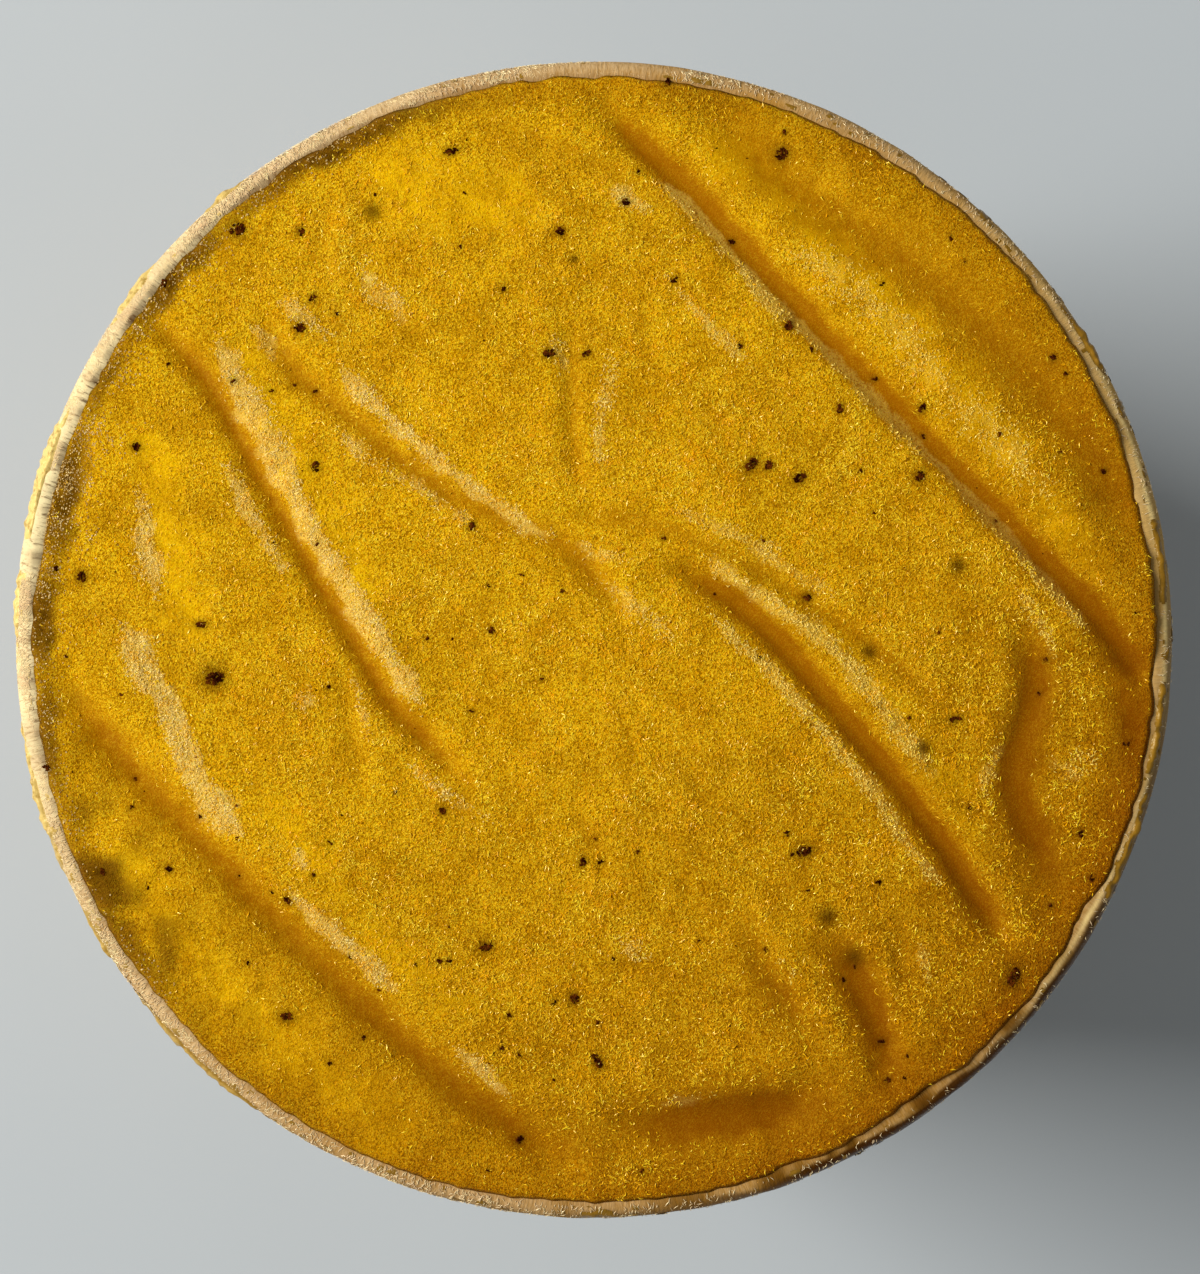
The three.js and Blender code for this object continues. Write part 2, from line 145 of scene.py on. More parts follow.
# Wide, soft amber patches: half width, strength, path
AMBER_PATCHES = [
    (3.2, 0.55, [(35.8, 2), (37.2, -5), (36.4, -12), (38.6, -20), (38, -27)]),
    (2.6, 0.5, [(18, -23), (21.6, -29), (24, -35), (23.6, -41)]),
    (3, 0.5, [(-6, -43), (4, -41.5), (14, -40.5), (24, -38), (31, -33.5)]),
    (2.4, 0.6, [(42.6, 3), (45.2, -4), (44.6, -12), (42.4, -19)]),
    (2.4, 0.4, [(9, -19), (13, -27), (18, -35)]),
    (2.6, 0.4, [(24, -10), (30, -20), (34, -28)]),
    (2.2, 0.35, [(-43, -10), (-35, -20), (-24, -32), (-12, -41.5)]),
    (2.4, 0.35, [(21, 39), (31, 31), (38.5, 22), (43.5, 12)]),
]

# Frost bands: half width, strength, path
FROST_BANDS = [
    (0.75, 1, [(-32.2, 26.7), (-29.4, 20), (-27.1, 15.7), (-25.3, 12.3), (-22.2, 6.4), (-20.1, 3),
               (-16.3, -3), (-14, -6.8)]),
    (0.5, 0.85, [(-21.8, 24.2), (-20.3, 21.6), (-17.8, 19.1), (-14.8, 16.6), (-11.8, 14), (-8.4, 11.5),
                 (-5.1, 9.3), (-2.1, 7.4)]),
    (0.5, 0.65, [(-27.7, 28.9), (-25, 27.6), (-21.6, 25)]),
    (0.8, 1, [(-40.1, 2.5), (-38.2, -1.7), (-35.6, -5.9), (-34.3, -8.9), (-33.1, -11.9), (-30.5, -15.3),
              (-28.6, -17.1)]),
    (1.2, 0.7, [(-34, -10.5), (-31.8, -13.8), (-29, -16.6)]),
    (0.6, 0.9, [(-26.7, -20), (-22.5, -24.2), (-19.9, -26.7), (-15.7, -30.3)]),
    (0.45, 0.8, [(-13.1, -33.5), (-10.6, -35.2), (-8.4, -37.4), (-5.6, -39.6)]),
    (0.7, 0.85, [(-38.8, 13.8), (-37.9, 10.2), (-37.3, 5.9), (-36.5, 2.4)]),
    (0.42, 0.95, [(4.3, 39.7), (8.1, 36.5), (11.5, 32.7), (14.2, 29.3), (17.4, 26.3), (21.7, 22.2),
                  (25.9, 17.7), (30.2, 13.6), (34.4, 9.2), (38.7, 4.2), (42.7, -0.3)]),
    (0.5, 0.85, [(0.9, 38.2), (5.1, 36.1)]),
    (0.4, 0.55, [(5.1, 32.1), (9, 27.2), (11.5, 24.5), (14.2, 21.9)]),
    (0.5, 0.55, [(5.1, 11.6), (9, 10.2), (13.2, 8.1), (16.6, 5.8), (21.7, 2.5)]),
    (0.6, 0.85, [(8.1, 7.5), (12.4, 4.7), (16.6, 2), (20, -0.7), (22.5, -3.4), (25.1, -6.8), (27.6, -9.8),
                 (29.5, -12.7)]),
    (0.45, 0.75, [(9, 3.4), (11.1, 0.7), (14.2, -1.9), (17.4, -5.5), (20.8, -9.3), (23.8, -13.2),
                  (26.4, -17.1), (31, -22.5)]),
    (0.55, 0.6, [(-31.6, 16.6), (-29.7, 11.9), (-27.7, 8.5), (-25, 3.2)]),
    (0.4, 0.5, [(-21.2, -0.8), (-19.7, -5.1), (-18.9, -9.8)]),
    (0.6, 0.55, [(-19.2, 33.1), (-18.6, 29.5), (-16.7, 27.8), (-15.5, 24.6)]),
    (0.6, 0.45, [(-23.3, 19.1), (-19.1, 15.3), (-14, 12.3), (-8.9, 8.5)]),
    (0.45, 0.5, [(34.4, 5.9), (37.4, 1.7), (39.7, -3.6)]),
    (0.5, 0.6, [(35.3, -5.5), (34.3, -8.9), (32.9, -12.3), (34.4, -14.6)]),
    (0.7, 0.5, [(38.2, -8.9), (39.5, -11.5), (42.9, -8.9)]),
    (1.2, 0.45, [(14.9, 33.5), (20, 31), (24.7, 27.2), (29.3, 21.6), (34.4, 16.6), (39.5, 10.2)]),
    (0.45, 0.5, [(-16.5, -9.8), (-11.4, -13.6), (-7.2, -16)]),
    (0.5, 0.5, [(0.5, -24.6), (5.6, -27.3)]),
    (0.5, 0.6, [(27.6, -25), (28.1, -29)]),
    (0.4, 0.55, [(4.7, -39.5), (10.8, -38)]),
    (0.6, 0.5, [(-4.2, 26.3), (-1.7, 21.6)]),
    (0.5, 0.5, [(1.1, 25.9), (1.3, 22.5), (0.5, 17), (0.9, 12.3)]),
    (0.5, 0.5, [(-3.4, 9.3), (0.5, 7.2), (3.9, 6.8)]),
    (0.5, 0.45, [(-1.2, 6.8), (3.9, 2.5), (8.1, -0.8)]),
    (0.6, 0.9, [(-24.6, -5), (-23.7, -5.2)]),
    (0.5, 0.65, [(-25, -17.4), (-24.2, -19.5)]),
    (0.5, 0.5, [(14.9, -25.9), (17.4, -29.3)]),
    (0.5, 0.5, [(-29.2, 27.2), (-26.3, 22.8)]),
]

# Smooth lemon yellow patches: half width, strength, path
LEMON_BANDS = [
    (2.6, 0.8, [(9, 43.3), (22.5, 30.6), (31, 20.4), (39.5, 9.3), (43.8, 4.2)]),
    (4.2, 0.8, [(-20.8, 39.1), (-12.3, 37.4), (-2.9, 34.8)]),
    (2.6, 0.7, [(-30.9, 26.3), (-25, 14.4), (-18, 2)]),
    (2.5, 0.9, [(-37.7, 19), (-35.6, 8), (-33.5, -1.7)]),
    (3.4, 0.7, [(-41.1, -16.1), (-33.5, -26.3), (-23.3, -36.5), (-13.1, -42.5)]),
    (2.2, 0.6, [(-29, -12), (-20, -22.5), (-9, -33)]),
    (2, 0.6, [(12, 6), (22, -2), (30, -12), (33, -20)]),
]

# Windows where the sorbet by the rim is brown and glassy, and darkened with painted shadow of the rim, mostly
# on the left
BROWN_AND_SHADOW_EDGES = [
    (0.95, 118, 16), (0.9, 139, 10), (0.75, 152, 6), (1, 165, 8), (0.95, 178, 7), (0.8, 190, 8),
    (0.7, 210, 14), (0.3, 236, 10), (0.3, 326, 20), (0.3, 300, 10), (0.3, 75, 14),
]

# Largest specks: place, length, width and direction in degrees
SPECKS = [
    (-30.1, 34.6, 1.5, 1.1, 20), (-12.1, 41.1, 1.4, 0.6, 10), (-2.9, 34.4, 0.9, 0.7, 0),
    (15.8, 41, 1.3, 1, 30), (16.4, 26.5, 1, 0.8, 60), (20.7, 19.5, 0.9, 0.6, 70),
    (27.6, 19.5, 1, 0.6, 60), (13.2, 14.8, 1.5, 0.8, 45), (17.3, 13.6, 1.2, 0.8, 30),
    (27.4, 13.8, 1, 0.8, 80), (-3.8, 24.1, 1.2, 0.8, 10), (-24.8, 26.3, 1.1, 0.8, 0),
    (-23.5, 14.6, 1, 0.7, 90), (-32, -3.2, 1.9, 1.3, 10), (-33.1, 1.3, 1, 0.6, 0),
    (-43.2, 5.3, 1.1, 0.8, 80), (17.6, -17.8, 1.4, 0.9, 30), (30.4, -6.7, 1.1, 0.5, 10),
    (17.9, 3.6, 0.9, 0.7, 0), (35.3, -28.4, 1.9, 1, 65), (-9.1, -25.8, 1.3, 0.7, 20),
    (-1.7, -30.2, 1, 0.8, 45), (0.3, -35.6, 1, 0.7, 130), (-25.9, -31.7, 1.2, 0.8, 0),
]

# Smaller specks: place and length
LESSER_SPECKS = [
    (-24.7, 34.4, 0.8), (-23.7, 28.8, 0.9), (-7.6, 29.5, 0.5), (-0.7, 24.1, 0.9), (2.6, 36.9, 0.9),
    (6.7, 30.3, 0.7), (11.6, 33.6, 0.6), (12.3, 24.8, 0.6), (14.7, 14.7, 0.9), (-2.7, 4.1, 0.5),
    (-8.7, 0.8, 0.7), (-10.3, 9.6, 1), (-38.6, 16.3, 0.9), (-10.4, -6, 0.5), (-12.8, -14.4, 0.7),
    (-1, -18.7, 0.9), (16.2, -16.3, 0.5), (23.9, -20.4, 0.6), (41, -16.3, 0.8), (41.9, -20.1, 0.6),
    (-12.3, -27, 0.6), (-41.4, -19.5, 0.7), (-35.8, -19.2, 0.7), (-46.2, -10.8, 0.8), (-6.3, -42.2, 0.9),
    (24.2, -33.9, 0.7),
    (24.7, -37.1, 0.6), (6.2, 47.1, 0.9), (38.6, 23.8, 0.6), (30, 33.9, 0.5), (-36.3, 30.1, 0.8),
    (-45.4, 6, 0.6), (-30.4, 21.8, 0.5), (-25.8, -21.9, 0.8), (23.6, 22, 0.6), (27.7, 17.2, 0.5),
]

# Specks that lie below the surface and show as soft stains: place and size
SUNKEN_SPECKS = [
    (30.6, 6.2, 1.2), (27.7, -9.1, 1.1), (19.6, -23.3, 1.4), (21.9, -26.7, 1.5), (23.1, -1, 1),
    (-18.7, 36, 1.4), (-32, -3.2, 2), (15.8, 41, 1.3), (-1.7, 32, 0.7),
]

# Smears of sorbet on the roll: middle and half width in degrees, from and to round the roll, thickness
SMEARS = [
    (130, 3, 0, 50, 0.4), (143, 4, -10, 60, 0.35), (164, 8, -20, 75, 0.5), (176, 5, -10, 45, 0.3),
    (196, 9, -10, 50, 0.4), (212, 5, 0, 40, 0.25), (227, 9, -20, 45, 0.4), (30, 3, 20, 70, 0.25),
    (340, 5, 30, 80, 0.25), (352, 5, 45, 90, 0.3), (8, 4, 40, 85, 0.25),
]

# Clusters of glassy ice by the rim: middle and half width in degrees, reach in from the roll, how many
ICE_CLUSTERS = [
    (118, 4, 0.9, 120), (127, 2, 1, 90), (136, 3, 1.3, 160), (144, 3, 1.2, 140), (150, 2, 1.6, 120),
    (158, 2, 2, 260), (163, 2, 1.7, 300), (168, 2, 2, 240), (173, 2, 1.2, 160), (180, 3, 1.6, 110),
    (188, 4, 1.3, 150), (198, 5, 1, 110), (216, 4, 0.8, 60),
]

# How the sorbet darkens and reddens: toward its edge, toward one direction and in a ring by the rim. Toward
# the direction away from the window it is painted shade
DEEP_EDGE = 0.2
PAINTED_SHADE_SIDE = 0.4
PAINTED_SHADE_DIRECTION = math.radians(316)
DEEP_RIM = 0.12

# How far frost and amber spread
FROST_SPREAD = 1.45
AMBER_FADE = 8

# How many small things there are, and the area of speck that one of its lumps covers
TINY_SPECKS = 150
BUBBLES = 40
FROST_GRAINS = 48000
GOLDEN_GRAINS = 49500
RIM_SLIVERS = 15000
LUMP_AREA = 0.03

# Fineness of the maps and the meshes
MAP_STEP = 0.25
SORBET_CELLS = 288
SIDE_ROWS = [0.25, 0.5, 0.75, 1]
WALL_SIDES = 540
BASE_SIDES = 240
SMEAR_COLUMNS = 1800
SMEAR_ROWS = 30

# Linear colours
YELLOW = (0.95, 0.445, 0.0)
LEMON = (0.98, 0.54, 0.0)
AMBER = (0.37, 0.120, 0.0)
FROST = (0.95, 0.60, 0.08)
FROST_PALE = (1.0, 0.76, 0.24)
FROST_GOLD = (1.0, 0.70, 0.09)
GLINT = (1.0, 0.70, 0.02)
SHADE = (0.32, 0.125, 0.0)
DEEP_AND_SHADE = (0.25, 0.0, 0.0)
EDGE_BROWN = (0.22, 0.09, 0.002)
EDGE_DARK = (0.09, 0.028, 0.0)
SPECK_STAIN = (0.10, 0.036, 0.0)
SPECK_BLACK = (0.022, 0.003, 0.001)
SPECK_BROWN = (0.15, 0.033, 0.003)
WARM_GLOSS = (1.0, 0.7, 0.05)
GOLD_GLOSS = (1.0, 0.80, 0.32)
ICE_GLOSS = (1.0, 0.85, 0.5)
KRAFT = (0.62, 0.40, 0.18)
KRAFT_DARK = (0.28, 0.15, 0.05)
KRAFT_PALE = (0.86, 0.62, 0.34)
KRAFT_YELLOW = (0.46, 0.20, 0.0)
CREST_HIGHLIGHT = (1.0, 0.72, 0.28)
KRAFT_WET_AND_SHADE = (0.085, 0.024, 0.0)
SMEAR = (0.34, 0.165, 0.008)
SMEAR_PALE = (0.92, 0.66, 0.20)
RIM_ICE_AND_LIGHT = (0.94, 0.76, 0.40)
EDGE_GLASS = (0.80, 0.57, 0.24)
EDGE_ICE = (0.46, 0.26, 0.06)
FLOOR = (0.545, 0.585, 0.605)

SEED = 7


# Noise and curves

def smooth(t):
    return t * t * (3 - 2 * t)


def smoothstep(value, low, high):
    return smooth(np.clip((value - low) / (high - low), 0, 1))


def seeded(number):
    """Random draws that are the same in each run."""
    return np.random.default_rng(SEED + number)


def between(table, i, j, fu, fv):
    """The value in each square of a table, blended between the square's four corners."""
    rows, columns = table.shape
    i0, i1, j0, j1 = i % rows, (i + 1) % rows, j % columns, (j + 1) % columns
    low = table[i0, j0] * (1 - fu) + table[i1, j0] * fu
    high = table[i0, j1] * (1 - fu) + table[i1, j1] * fu
    return low * (1 - fv) + high * fv


def noise(x, y, cell, number):
    """Smooth noise between -1 and 1 over the plane. cell is the size of its grains."""
    size = 512
    table = seeded(number).uniform(-1, 1, (size, size))
    u = x / cell + size / 2
    v = y / cell + size / 2
    i = np.floor(u).astype(int)
    j = np.floor(v).astype(int)
    return between(table, i, j, smooth(u - i), smooth(v - j))


def polar(r, angle):
    """x and y from a radius and an angle in radians."""
    return r * np.cos(angle), r * np.sin(angle)


def rotate(u, v, angle):
    """A direction turned by an angle in radians."""
    c, s = np.cos(angle), np.sin(angle)
    return u * c - v * s, u * s + v * c


def drawn_places(rng, radius, count=None):
    """Random places in a disc: one, or count of them."""
    r = radius * np.sqrt(rng.random(count))
    return polar(r, rng.random(count) * 2 * np.pi)


def spline(corners):
    """A uniform Catmull-Rom curve through the corners."""
    p = np.array(corners, float)
    p = np.vstack([p[:1], p, p[-1:]])
    t = np.linspace(0, 1, STROKE_STEPS, endpoint=False)[:, None]
    parts = []
    for a, b, c, d in zip(p, p[1:], p[2:], p[3:]):
        v0 = (c - a) / 2
        v1 = (d - b) / 2
        cubic = 2 * b - 2 * c + v0 + v1
        square = -3 * b + 3 * c - 2 * v0 - v1
        parts.append(cubic * t ** 3 + square * t ** 2 + v0 * t + b)
    parts.append(p[-1:])
    return np.vstack(parts)


def nearest(line, x, y):
    """Each point's distance from a line, its side (1 on the left), how far along, and the line's length."""
    best = np.full(x.shape, np.inf)
    side = np.ones(x.shape)
    along = np.zeros(x.shape)
    start = 0.0
    for a, b in zip(line, line[1:]):
        step = b - a
        length = math.hypot(*step)
        t = np.clip(((x - a[0]) * step[0] + (y - a[1]) * step[1]) / length ** 2, 0, 1)
        distance = np.hypot(x - a[0] - t * step[0], y - a[1] - t * step[1])
        nearer = distance < best
        best = np.where(nearer, distance, best)
        turn = np.sign(step[0] * (y - a[1]) - step[1] * (x - a[0]))
        side = np.where(nearer, np.where(turn == 0, 1, turn), side)
        along = np.where(nearer, start + t * length, along)
        start += length
    return best, side, along, start


# Sorbet surface

def round_rim(degrees, middle, half):
    """A soft window round the rim: 1 at its middle, falling off over half."""
    return np.exp(-(((degrees - middle + 180) % 360 - 180) / half) ** 2)


def windows(degrees, table):
    """The strength of each window of a table."""
    return [amount * round_rim(degrees, middle, half) for amount, middle, half in table]


def roll_point(angle, inset):
    """A point of the rolled rim's section. 180 is its inner side, 90 its crest, 0 its outer side."""
    a = np.radians(angle)
    r = ROLL_RADIUS + (ROLL_HALF_WIDTH - inset) * np.cos(a)
    return r, ROLL_Z + (ROLL_HALF_HEIGHT - inset) * np.sin(a)


def wall_inner(z):
    return ROLL_RADIUS - ROLL_HALF_WIDTH - (ROLL_Z - z) * math.tan(math.radians(WALL_TAPER))


def edge_angle(theta):
    """Where the sorbet's wavy edge lies on the roll, in degrees of the roll's section."""
    x, y = polar(RIM_RADIUS, np.radians(theta))
    waves = 7 * noise(x, y, 2.6, 1) + 5 * noise(x, y, 0.9, 2)
    return EDGE_ANGLE + sum(windows(theta, EDGE_DIPS)) + waves


# Speck places and stains

def small_specks():
    """The smaller specks at their places, and the smallest ones spread by a seeded draw."""
    rng = seeded(20)
    specks = []
    for x, y, size in LESSER_SPECKS:
        specks.append((x, y, size, size * rng.uniform(0.5, 0.85), rng.uniform(0, 180)))
    for _ in range(TINY_SPECKS):
        x, y = drawn_places(rng, ROLL_RADIUS - 1.5)
        length = 0.16 + 0.34 * rng.random() ** 2
        width = length * rng.uniform(0.5, 0.9)
        specks.append((x, y, length, width, rng.uniform(0, 180)))
    return specks


ALL_SPECKS = SPECKS + small_specks()


def speck_stain(x, y, specks):
    """How much specks stain each point, from 0 to 1."""
    stain = np.zeros(x.shape)
    for cx, cy, length, width, turn in specks:
        near = (np.abs(x - cx) < 4) & (np.abs(y - cy) < 4)
        u, v = rotate(x[near] - cx, y[near] - cy, -math.radians(turn))
        reach = np.exp(-((u / (0.62 * length)) ** 2 + (v / (0.75 * width)) ** 2))
        stain[near] = np.maximum(stain[near], reach)
    return stain


# Grooves, frost and stains over the whole surface

def along_path(path, reach, x, y):
    """The points near a path: which they are, their signed distance from it, and how far from its ends."""
    line = spline(path)
    low = line.min(axis=0) - reach
    high = line.max(axis=0) + reach
    near = (x > low[0]) & (x < high[0]) & (y > low[1]) & (y < high[1])
    distance, side, along, length = nearest(line, x[near], y[near])
    return near, side * distance, np.minimum(along, length - along)


def band_strength(bands, x, y, fade_from, fade_to, spread=1):
    """The strength of ragged bands that fade out and narrow toward their ends."""
    strength = np.zeros(x.shape)
    for core, amount, path in bands:
        half = spread * core
        near, distance, end = along_path(path, 4 * half, x, y)
        fade = smoothstep(end, fade_from, min(fade_to, 0.8 * end.max()))
        ragged = half * (0.5 + 0.5 * fade) * (1 + 0.55 * noise(x[near], y[near], 1.7, 66))
        band = amount * fade * np.exp(-(distance / ragged) ** 2)
        strength[near] = np.maximum(strength[near], band)
    return strength


def stroke_fields():
    """Groove height, amber, frost and lemon over the tub's mouth, on a square grid."""
    line = np.arange(-RIM_RADIUS, RIM_RADIUS + MAP_STEP, MAP_STEP)
    x, y = np.meshgrid(line, line, indexing="ij")
    height = np.zeros(x.shape)
    amber = np.zeros(x.shape)
    for half, depth, bank, offset, tint, path in STROKES.values():
        near, distance, end = along_path(path, 2.5 * half + 2 * abs(offset), x, y)
        fade = smoothstep(end, 0, STROKE_FADE)
        bank_shape = np.exp(-((distance - offset) / (BANK_SPREAD * offset)) ** 2)
        height[near] += fade * (bank * bank_shape - depth * np.exp(-(distance / half) ** 2))
        colour_fade = smoothstep(end, -1, AMBER_FADE)
        ragged = 1.25 * half * (1 + 0.3 * noise(x[near], y[near], 2.0, 67))
        amber[near] = np.maximum(amber[near], colour_fade * tint * np.exp(-(distance / ragged) ** 2))
    patches = band_strength(AMBER_PATCHES, x, y, -2, 6)
    amber = np.maximum(amber, np.minimum(amber + 0.6 * patches, patches + 0.35 * amber))
    frost = band_strength(FROST_BANDS, x, y, -0.6, 4, FROST_SPREAD)
    lemon = band_strength(LEMON_BANDS, x, y, -2, 4)
    sunken = [(*place, size, 0.8 * size, 20) for *place, size in SUNKEN_SPECKS]
    stain = speck_stain(x, y, [speck for speck in ALL_SPECKS + sunken if speck[2] > 0.3])
    return {"height": height, "amber": amber, "frost": frost, "lemon": lemon, "stain": stain}


def field(name, x, y):
    """The value of one of the fields at each point."""
    table = FIELDS[name]
    u = np.clip((x + RIM_RADIUS) / MAP_STEP, 0, table.shape[0] - 1.001)
    v = np.clip((y + RIM_RADIUS) / MAP_STEP, 0, table.shape[1] - 1.001)
    i = u.astype(int)
    j = v.astype(int)
    return between(table, i, j, u - i, v - j)


FIELDS = stroke_fields()


def sorbet_surface(x, y):
    """Height of the sorbet at each point with its lumps, and how far in from the edge it is (0 to 1)."""
    theta = np.degrees(np.arctan2(y, x))
    edge_r, edge_z = roll_point(edge_angle(theta), -EDGE_GAP)
    level_z = roll_point(EDGE_ANGLE, -CLEARANCE)[1]
    r = np.hypot(x, y)
    height = TUB_HEIGHT + FILL_RISE + DOME * (1 - (r / edge_r) ** 2)
    for amount, length, direction, phase in WAVES:
        along = rotate(x, y, -math.radians(direction))[0]
        height = height + amount * np.sin(2 * np.pi * along / length + phase)
    height = height + field("height", x, y) - (level_z - edge_z)
    wet = np.clip(field("amber", x, y), 0, 1)
    lumps = 0.06 * noise(x, y, 5.5, 3) + 0.045 * noise(x, y, 2.4, 4)
    grain = 0.035 * noise(x, y, 1.1, 5) + 0.03 * noise(x, y, 0.62, 6)
    height = height + lumps + grain * (1 + field("frost", x, y)) * (1 - 0.75 * wet)
    reach = EDGE_ROUND[0] + (EDGE_ROUND[1] - EDGE_ROUND[0]) * round_rim(theta, 158, 70)
    inwards = np.clip((edge_r - r) / reach, 0, 1)
    rounded = np.sqrt(1 - (1 - inwards) ** 2)
    return edge_z + (height - edge_z) * rounded, inwards


def brown_edge_and_rim_shadow(x, y):
    """How brown and glassy the sorbet is near the rim, with the rim's painted shadow, mostly on the left
    side.
    """
    theta = np.degrees(np.arctan2(y, x))
    r = np.hypot(x, y)
    depth = 1.7 + 0.8 * noise(x, y, 1.5, 8) + 1.3 * round_rim(theta, 170, 14)
    reach = smoothstep(r, ROLL_RADIUS - 1 - depth, ROLL_RADIUS - 0.1 - 0.5 * depth)
    patches = np.maximum.reduce(windows(theta, BROWN_AND_SHADOW_EDGES)) * reach
    mottled = round_rim(theta, 206, 26) * smoothstep(r, 36, 46) * (0.35 + 0.6 * noise(x, y, 2.4, 10))
    return np.clip(np.maximum(patches, mottled), 0, 1)


def deepening_and_shade(x, y):
    """Darker and redder toward the sorbet's edge, most of all toward one side, where it is painted shade away
    from the window.
    """
    r = np.hypot(x, y) / RIM_RADIUS
    # painted shade: darker toward the side away from the window
    toward = rotate(x, y, -PAINTED_SHADE_DIRECTION)[0] / RIM_RADIUS
    patchy = 1 + 0.5 * noise(x, y, 5, 9)
    theta = np.degrees(np.arctan2(y, x))
    rim = (DEEP_RIM + 0.22 * round_rim(theta, 100, 60)) * smoothstep(r, 0.88, 0.96) * patchy
    return np.clip(DEEP_EDGE * r ** 2 + PAINTED_SHADE_SIDE * toward + rim, 0, 0.9)


# Mesh helpers

def disc_grid(count):
    """Points of a square grid mapped onto the unit disc, ring by ring, as radius and angle."""
    u, v = np.meshgrid(np.linspace(-1, 1, count + 1), np.linspace(-1, 1, count + 1))
    wide = np.abs(u) > np.abs(v)
    safe_u = np.where(u == 0, 1, u)
    safe_v = np.where(v == 0, 1, v)
    theta = np.where(wide, np.where(u > 0, 0, 180) + 45 * v / safe_u,
                     np.where(v > 0, 90, 270) - 45 * u / safe_v)
    return np.maximum(np.abs(u), np.abs(v)), theta


def point_table(rows, columns):
    """Point numbers in rows and columns."""
    return np.arange(rows * columns).reshape(rows, columns)


def closed(table):
    """A table of point numbers with its first row again at its end, to close a ring."""
    return np.vstack([table, table[:1]])


def squares(table):
    """The squares between neighbours in a table of point numbers."""
    a, b = table[:-1, :-1].ravel(), table[:-1, 1:].ravel()
    c, d = table[1:, 1:].ravel(), table[1:, :-1].ravel()
    return np.stack([a, b, c, d], axis=1)


def copied(faces, count, size):
    """The faces of count copies of a shape that has size points."""
    return (faces[None] + (np.arange(count) * size)[:, None, None]).reshape(-1, faces.shape[1])


def listed(x, y, z):
    """One list of points from arrays of their x, y and z."""
    return np.stack(np.broadcast_arrays(x, y, z), axis=-1).reshape(-1, 3)


def make_mesh(name, points, faces, attributes=None, smooth_shading=True):
    """An object from points in millimetres and an array of faces that all have the same number of corners."""
    mesh = bpy.data.meshes.new(name)
    faces = np.asarray(faces)
    mesh.vertices.add(len(points))
    mesh.vertices.foreach_set("co", (np.asarray(points) * MM).astype(np.float32).ravel())
    mesh.loops.add(faces.size)
    mesh.loops.foreach_set("vertex_index", faces.astype(np.int32).ravel())
    mesh.polygons.add(len(faces))
    mesh.polygons.foreach_set("loop_start", np.arange(0, faces.size, faces.shape[1], dtype=np.int32))
    mesh.polygons.foreach_set("use_smooth", np.full(len(faces), smooth_shading))
    mesh.update(calc_edges=True)
    mesh.validate()
    for key, values in (attributes or {}).items():
        values = np.asarray(values, np.float32)
        kind, part = ("FLOAT", "value") if values.size == len(points) else ("FLOAT_VECTOR", "vector")
        mesh.attributes.new(key, kind, "POINT").data.foreach_set(part, values.ravel())
    piece = bpy.data.objects.new(name, mesh)
    bpy.context.scene.collection.objects.link(piece)
    return piece


def sorbet_mesh():
    """The sorbet: a square grid bent onto the tub's mouth for its surface, then its side and underside."""
    ring, theta = disc_grid(SORBET_CELLS)
    x, y = polar(ring * roll_point(edge_angle(theta), -EDGE_GAP)[0], np.radians(theta))
    top = listed(x, y, sorbet_surface(x, y)[0])
    index = point_table(*ring.shape)
    edge = np.concatenate([index[0, :-1], index[:-1, -1], index[-1, :0:-1], index[:0:-1, 0]])
    theta = np.arctan2(top[edge, 1], top[edge, 0])
    start = edge_angle(np.degrees(theta))
    parts = [top]
    for share in SIDE_ROWS:
        r, z = roll_point(start + (180 - start) * share, -SIDE_GAP)
        parts.append(listed(*polar(r, theta), z))
    parts.append(listed(*polar(wall_inner(SORBET_Z) - CLEARANCE, theta), SORBET_Z))
    parts.append(np.array([[0, 0, SORBET_Z]]))
    points = np.vstack(parts)
    side = len(top) + point_table(len(SIDE_ROWS) + 1, len(edge))
    last = side[-1]
    middle = np.full(len(edge) // 2, len(points) - 1)
    underside = np.stack([last[::2], middle, np.roll(last, -2)[::2], np.roll(last, -1)[::2]], axis=1)
    faces = np.vstack([squares(index), squares(closed(np.vstack([edge, side]).T)), underside])
    x, y = points[:, 0], points[:, 1]
    attributes = {name: field(name, x, y) for name in ("frost", "lemon", "stain")}
    attributes["amber"] = np.clip(field("amber", x, y), 0, 1)
    attributes["brown"] = brown_edge_and_rim_shadow(x, y)
    attributes["deep"] = deepening_and_shade(x, y)
    return make_mesh("sorbet_fill", points, faces, attributes)


# Specks and grains

def sphere_points(rings, segments):
    """Unit sphere points and triangles."""
    points = [(0, 0, 1)]
    for i in range(1, rings):
        down = math.pi * i / rings
        for j in range(segments):
            points.append((*polar(math.sin(down), 2 * math.pi * j / segments), math.cos(down)))
    points.append((0, 0, -1))
    faces = []
    for j in range(segments):
        k = (j + 1) % segments
        faces.append((0, 1 + j, 1 + k))
        for i in range(rings - 2):
            a, b = 1 + i * segments + j, 1 + i * segments + k
            c, d = a + segments, b + segments
            faces += [(a, c, d), (a, d, b)]
        last = 1 + (rings - 2) * segments
        faces.append((last + j, len(points) - 1, last + k))
    return np.array(points), np.array(faces)


def scatter(shape, faces, places, sizes, turns, tilts, number):
    """Copies of one shape joined into arrays: each scaled, roughened, tilted, turned and set in its place."""
    count = len(places)
    rough = 1 - 0.5 * seeded(number).random((count, len(shape), 1))
    x, y, z = np.moveaxis(shape[None] * rough * sizes[:, None, :], 2, 0)
    z, x = rotate(z, x, tilts[:, None])
    x, y = rotate(x, y, turns[:, None])
    points = np.stack([x, y, z], axis=2) + places[:, None, :]
    return points.reshape(-1, 3), copied(faces, count, len(shape))


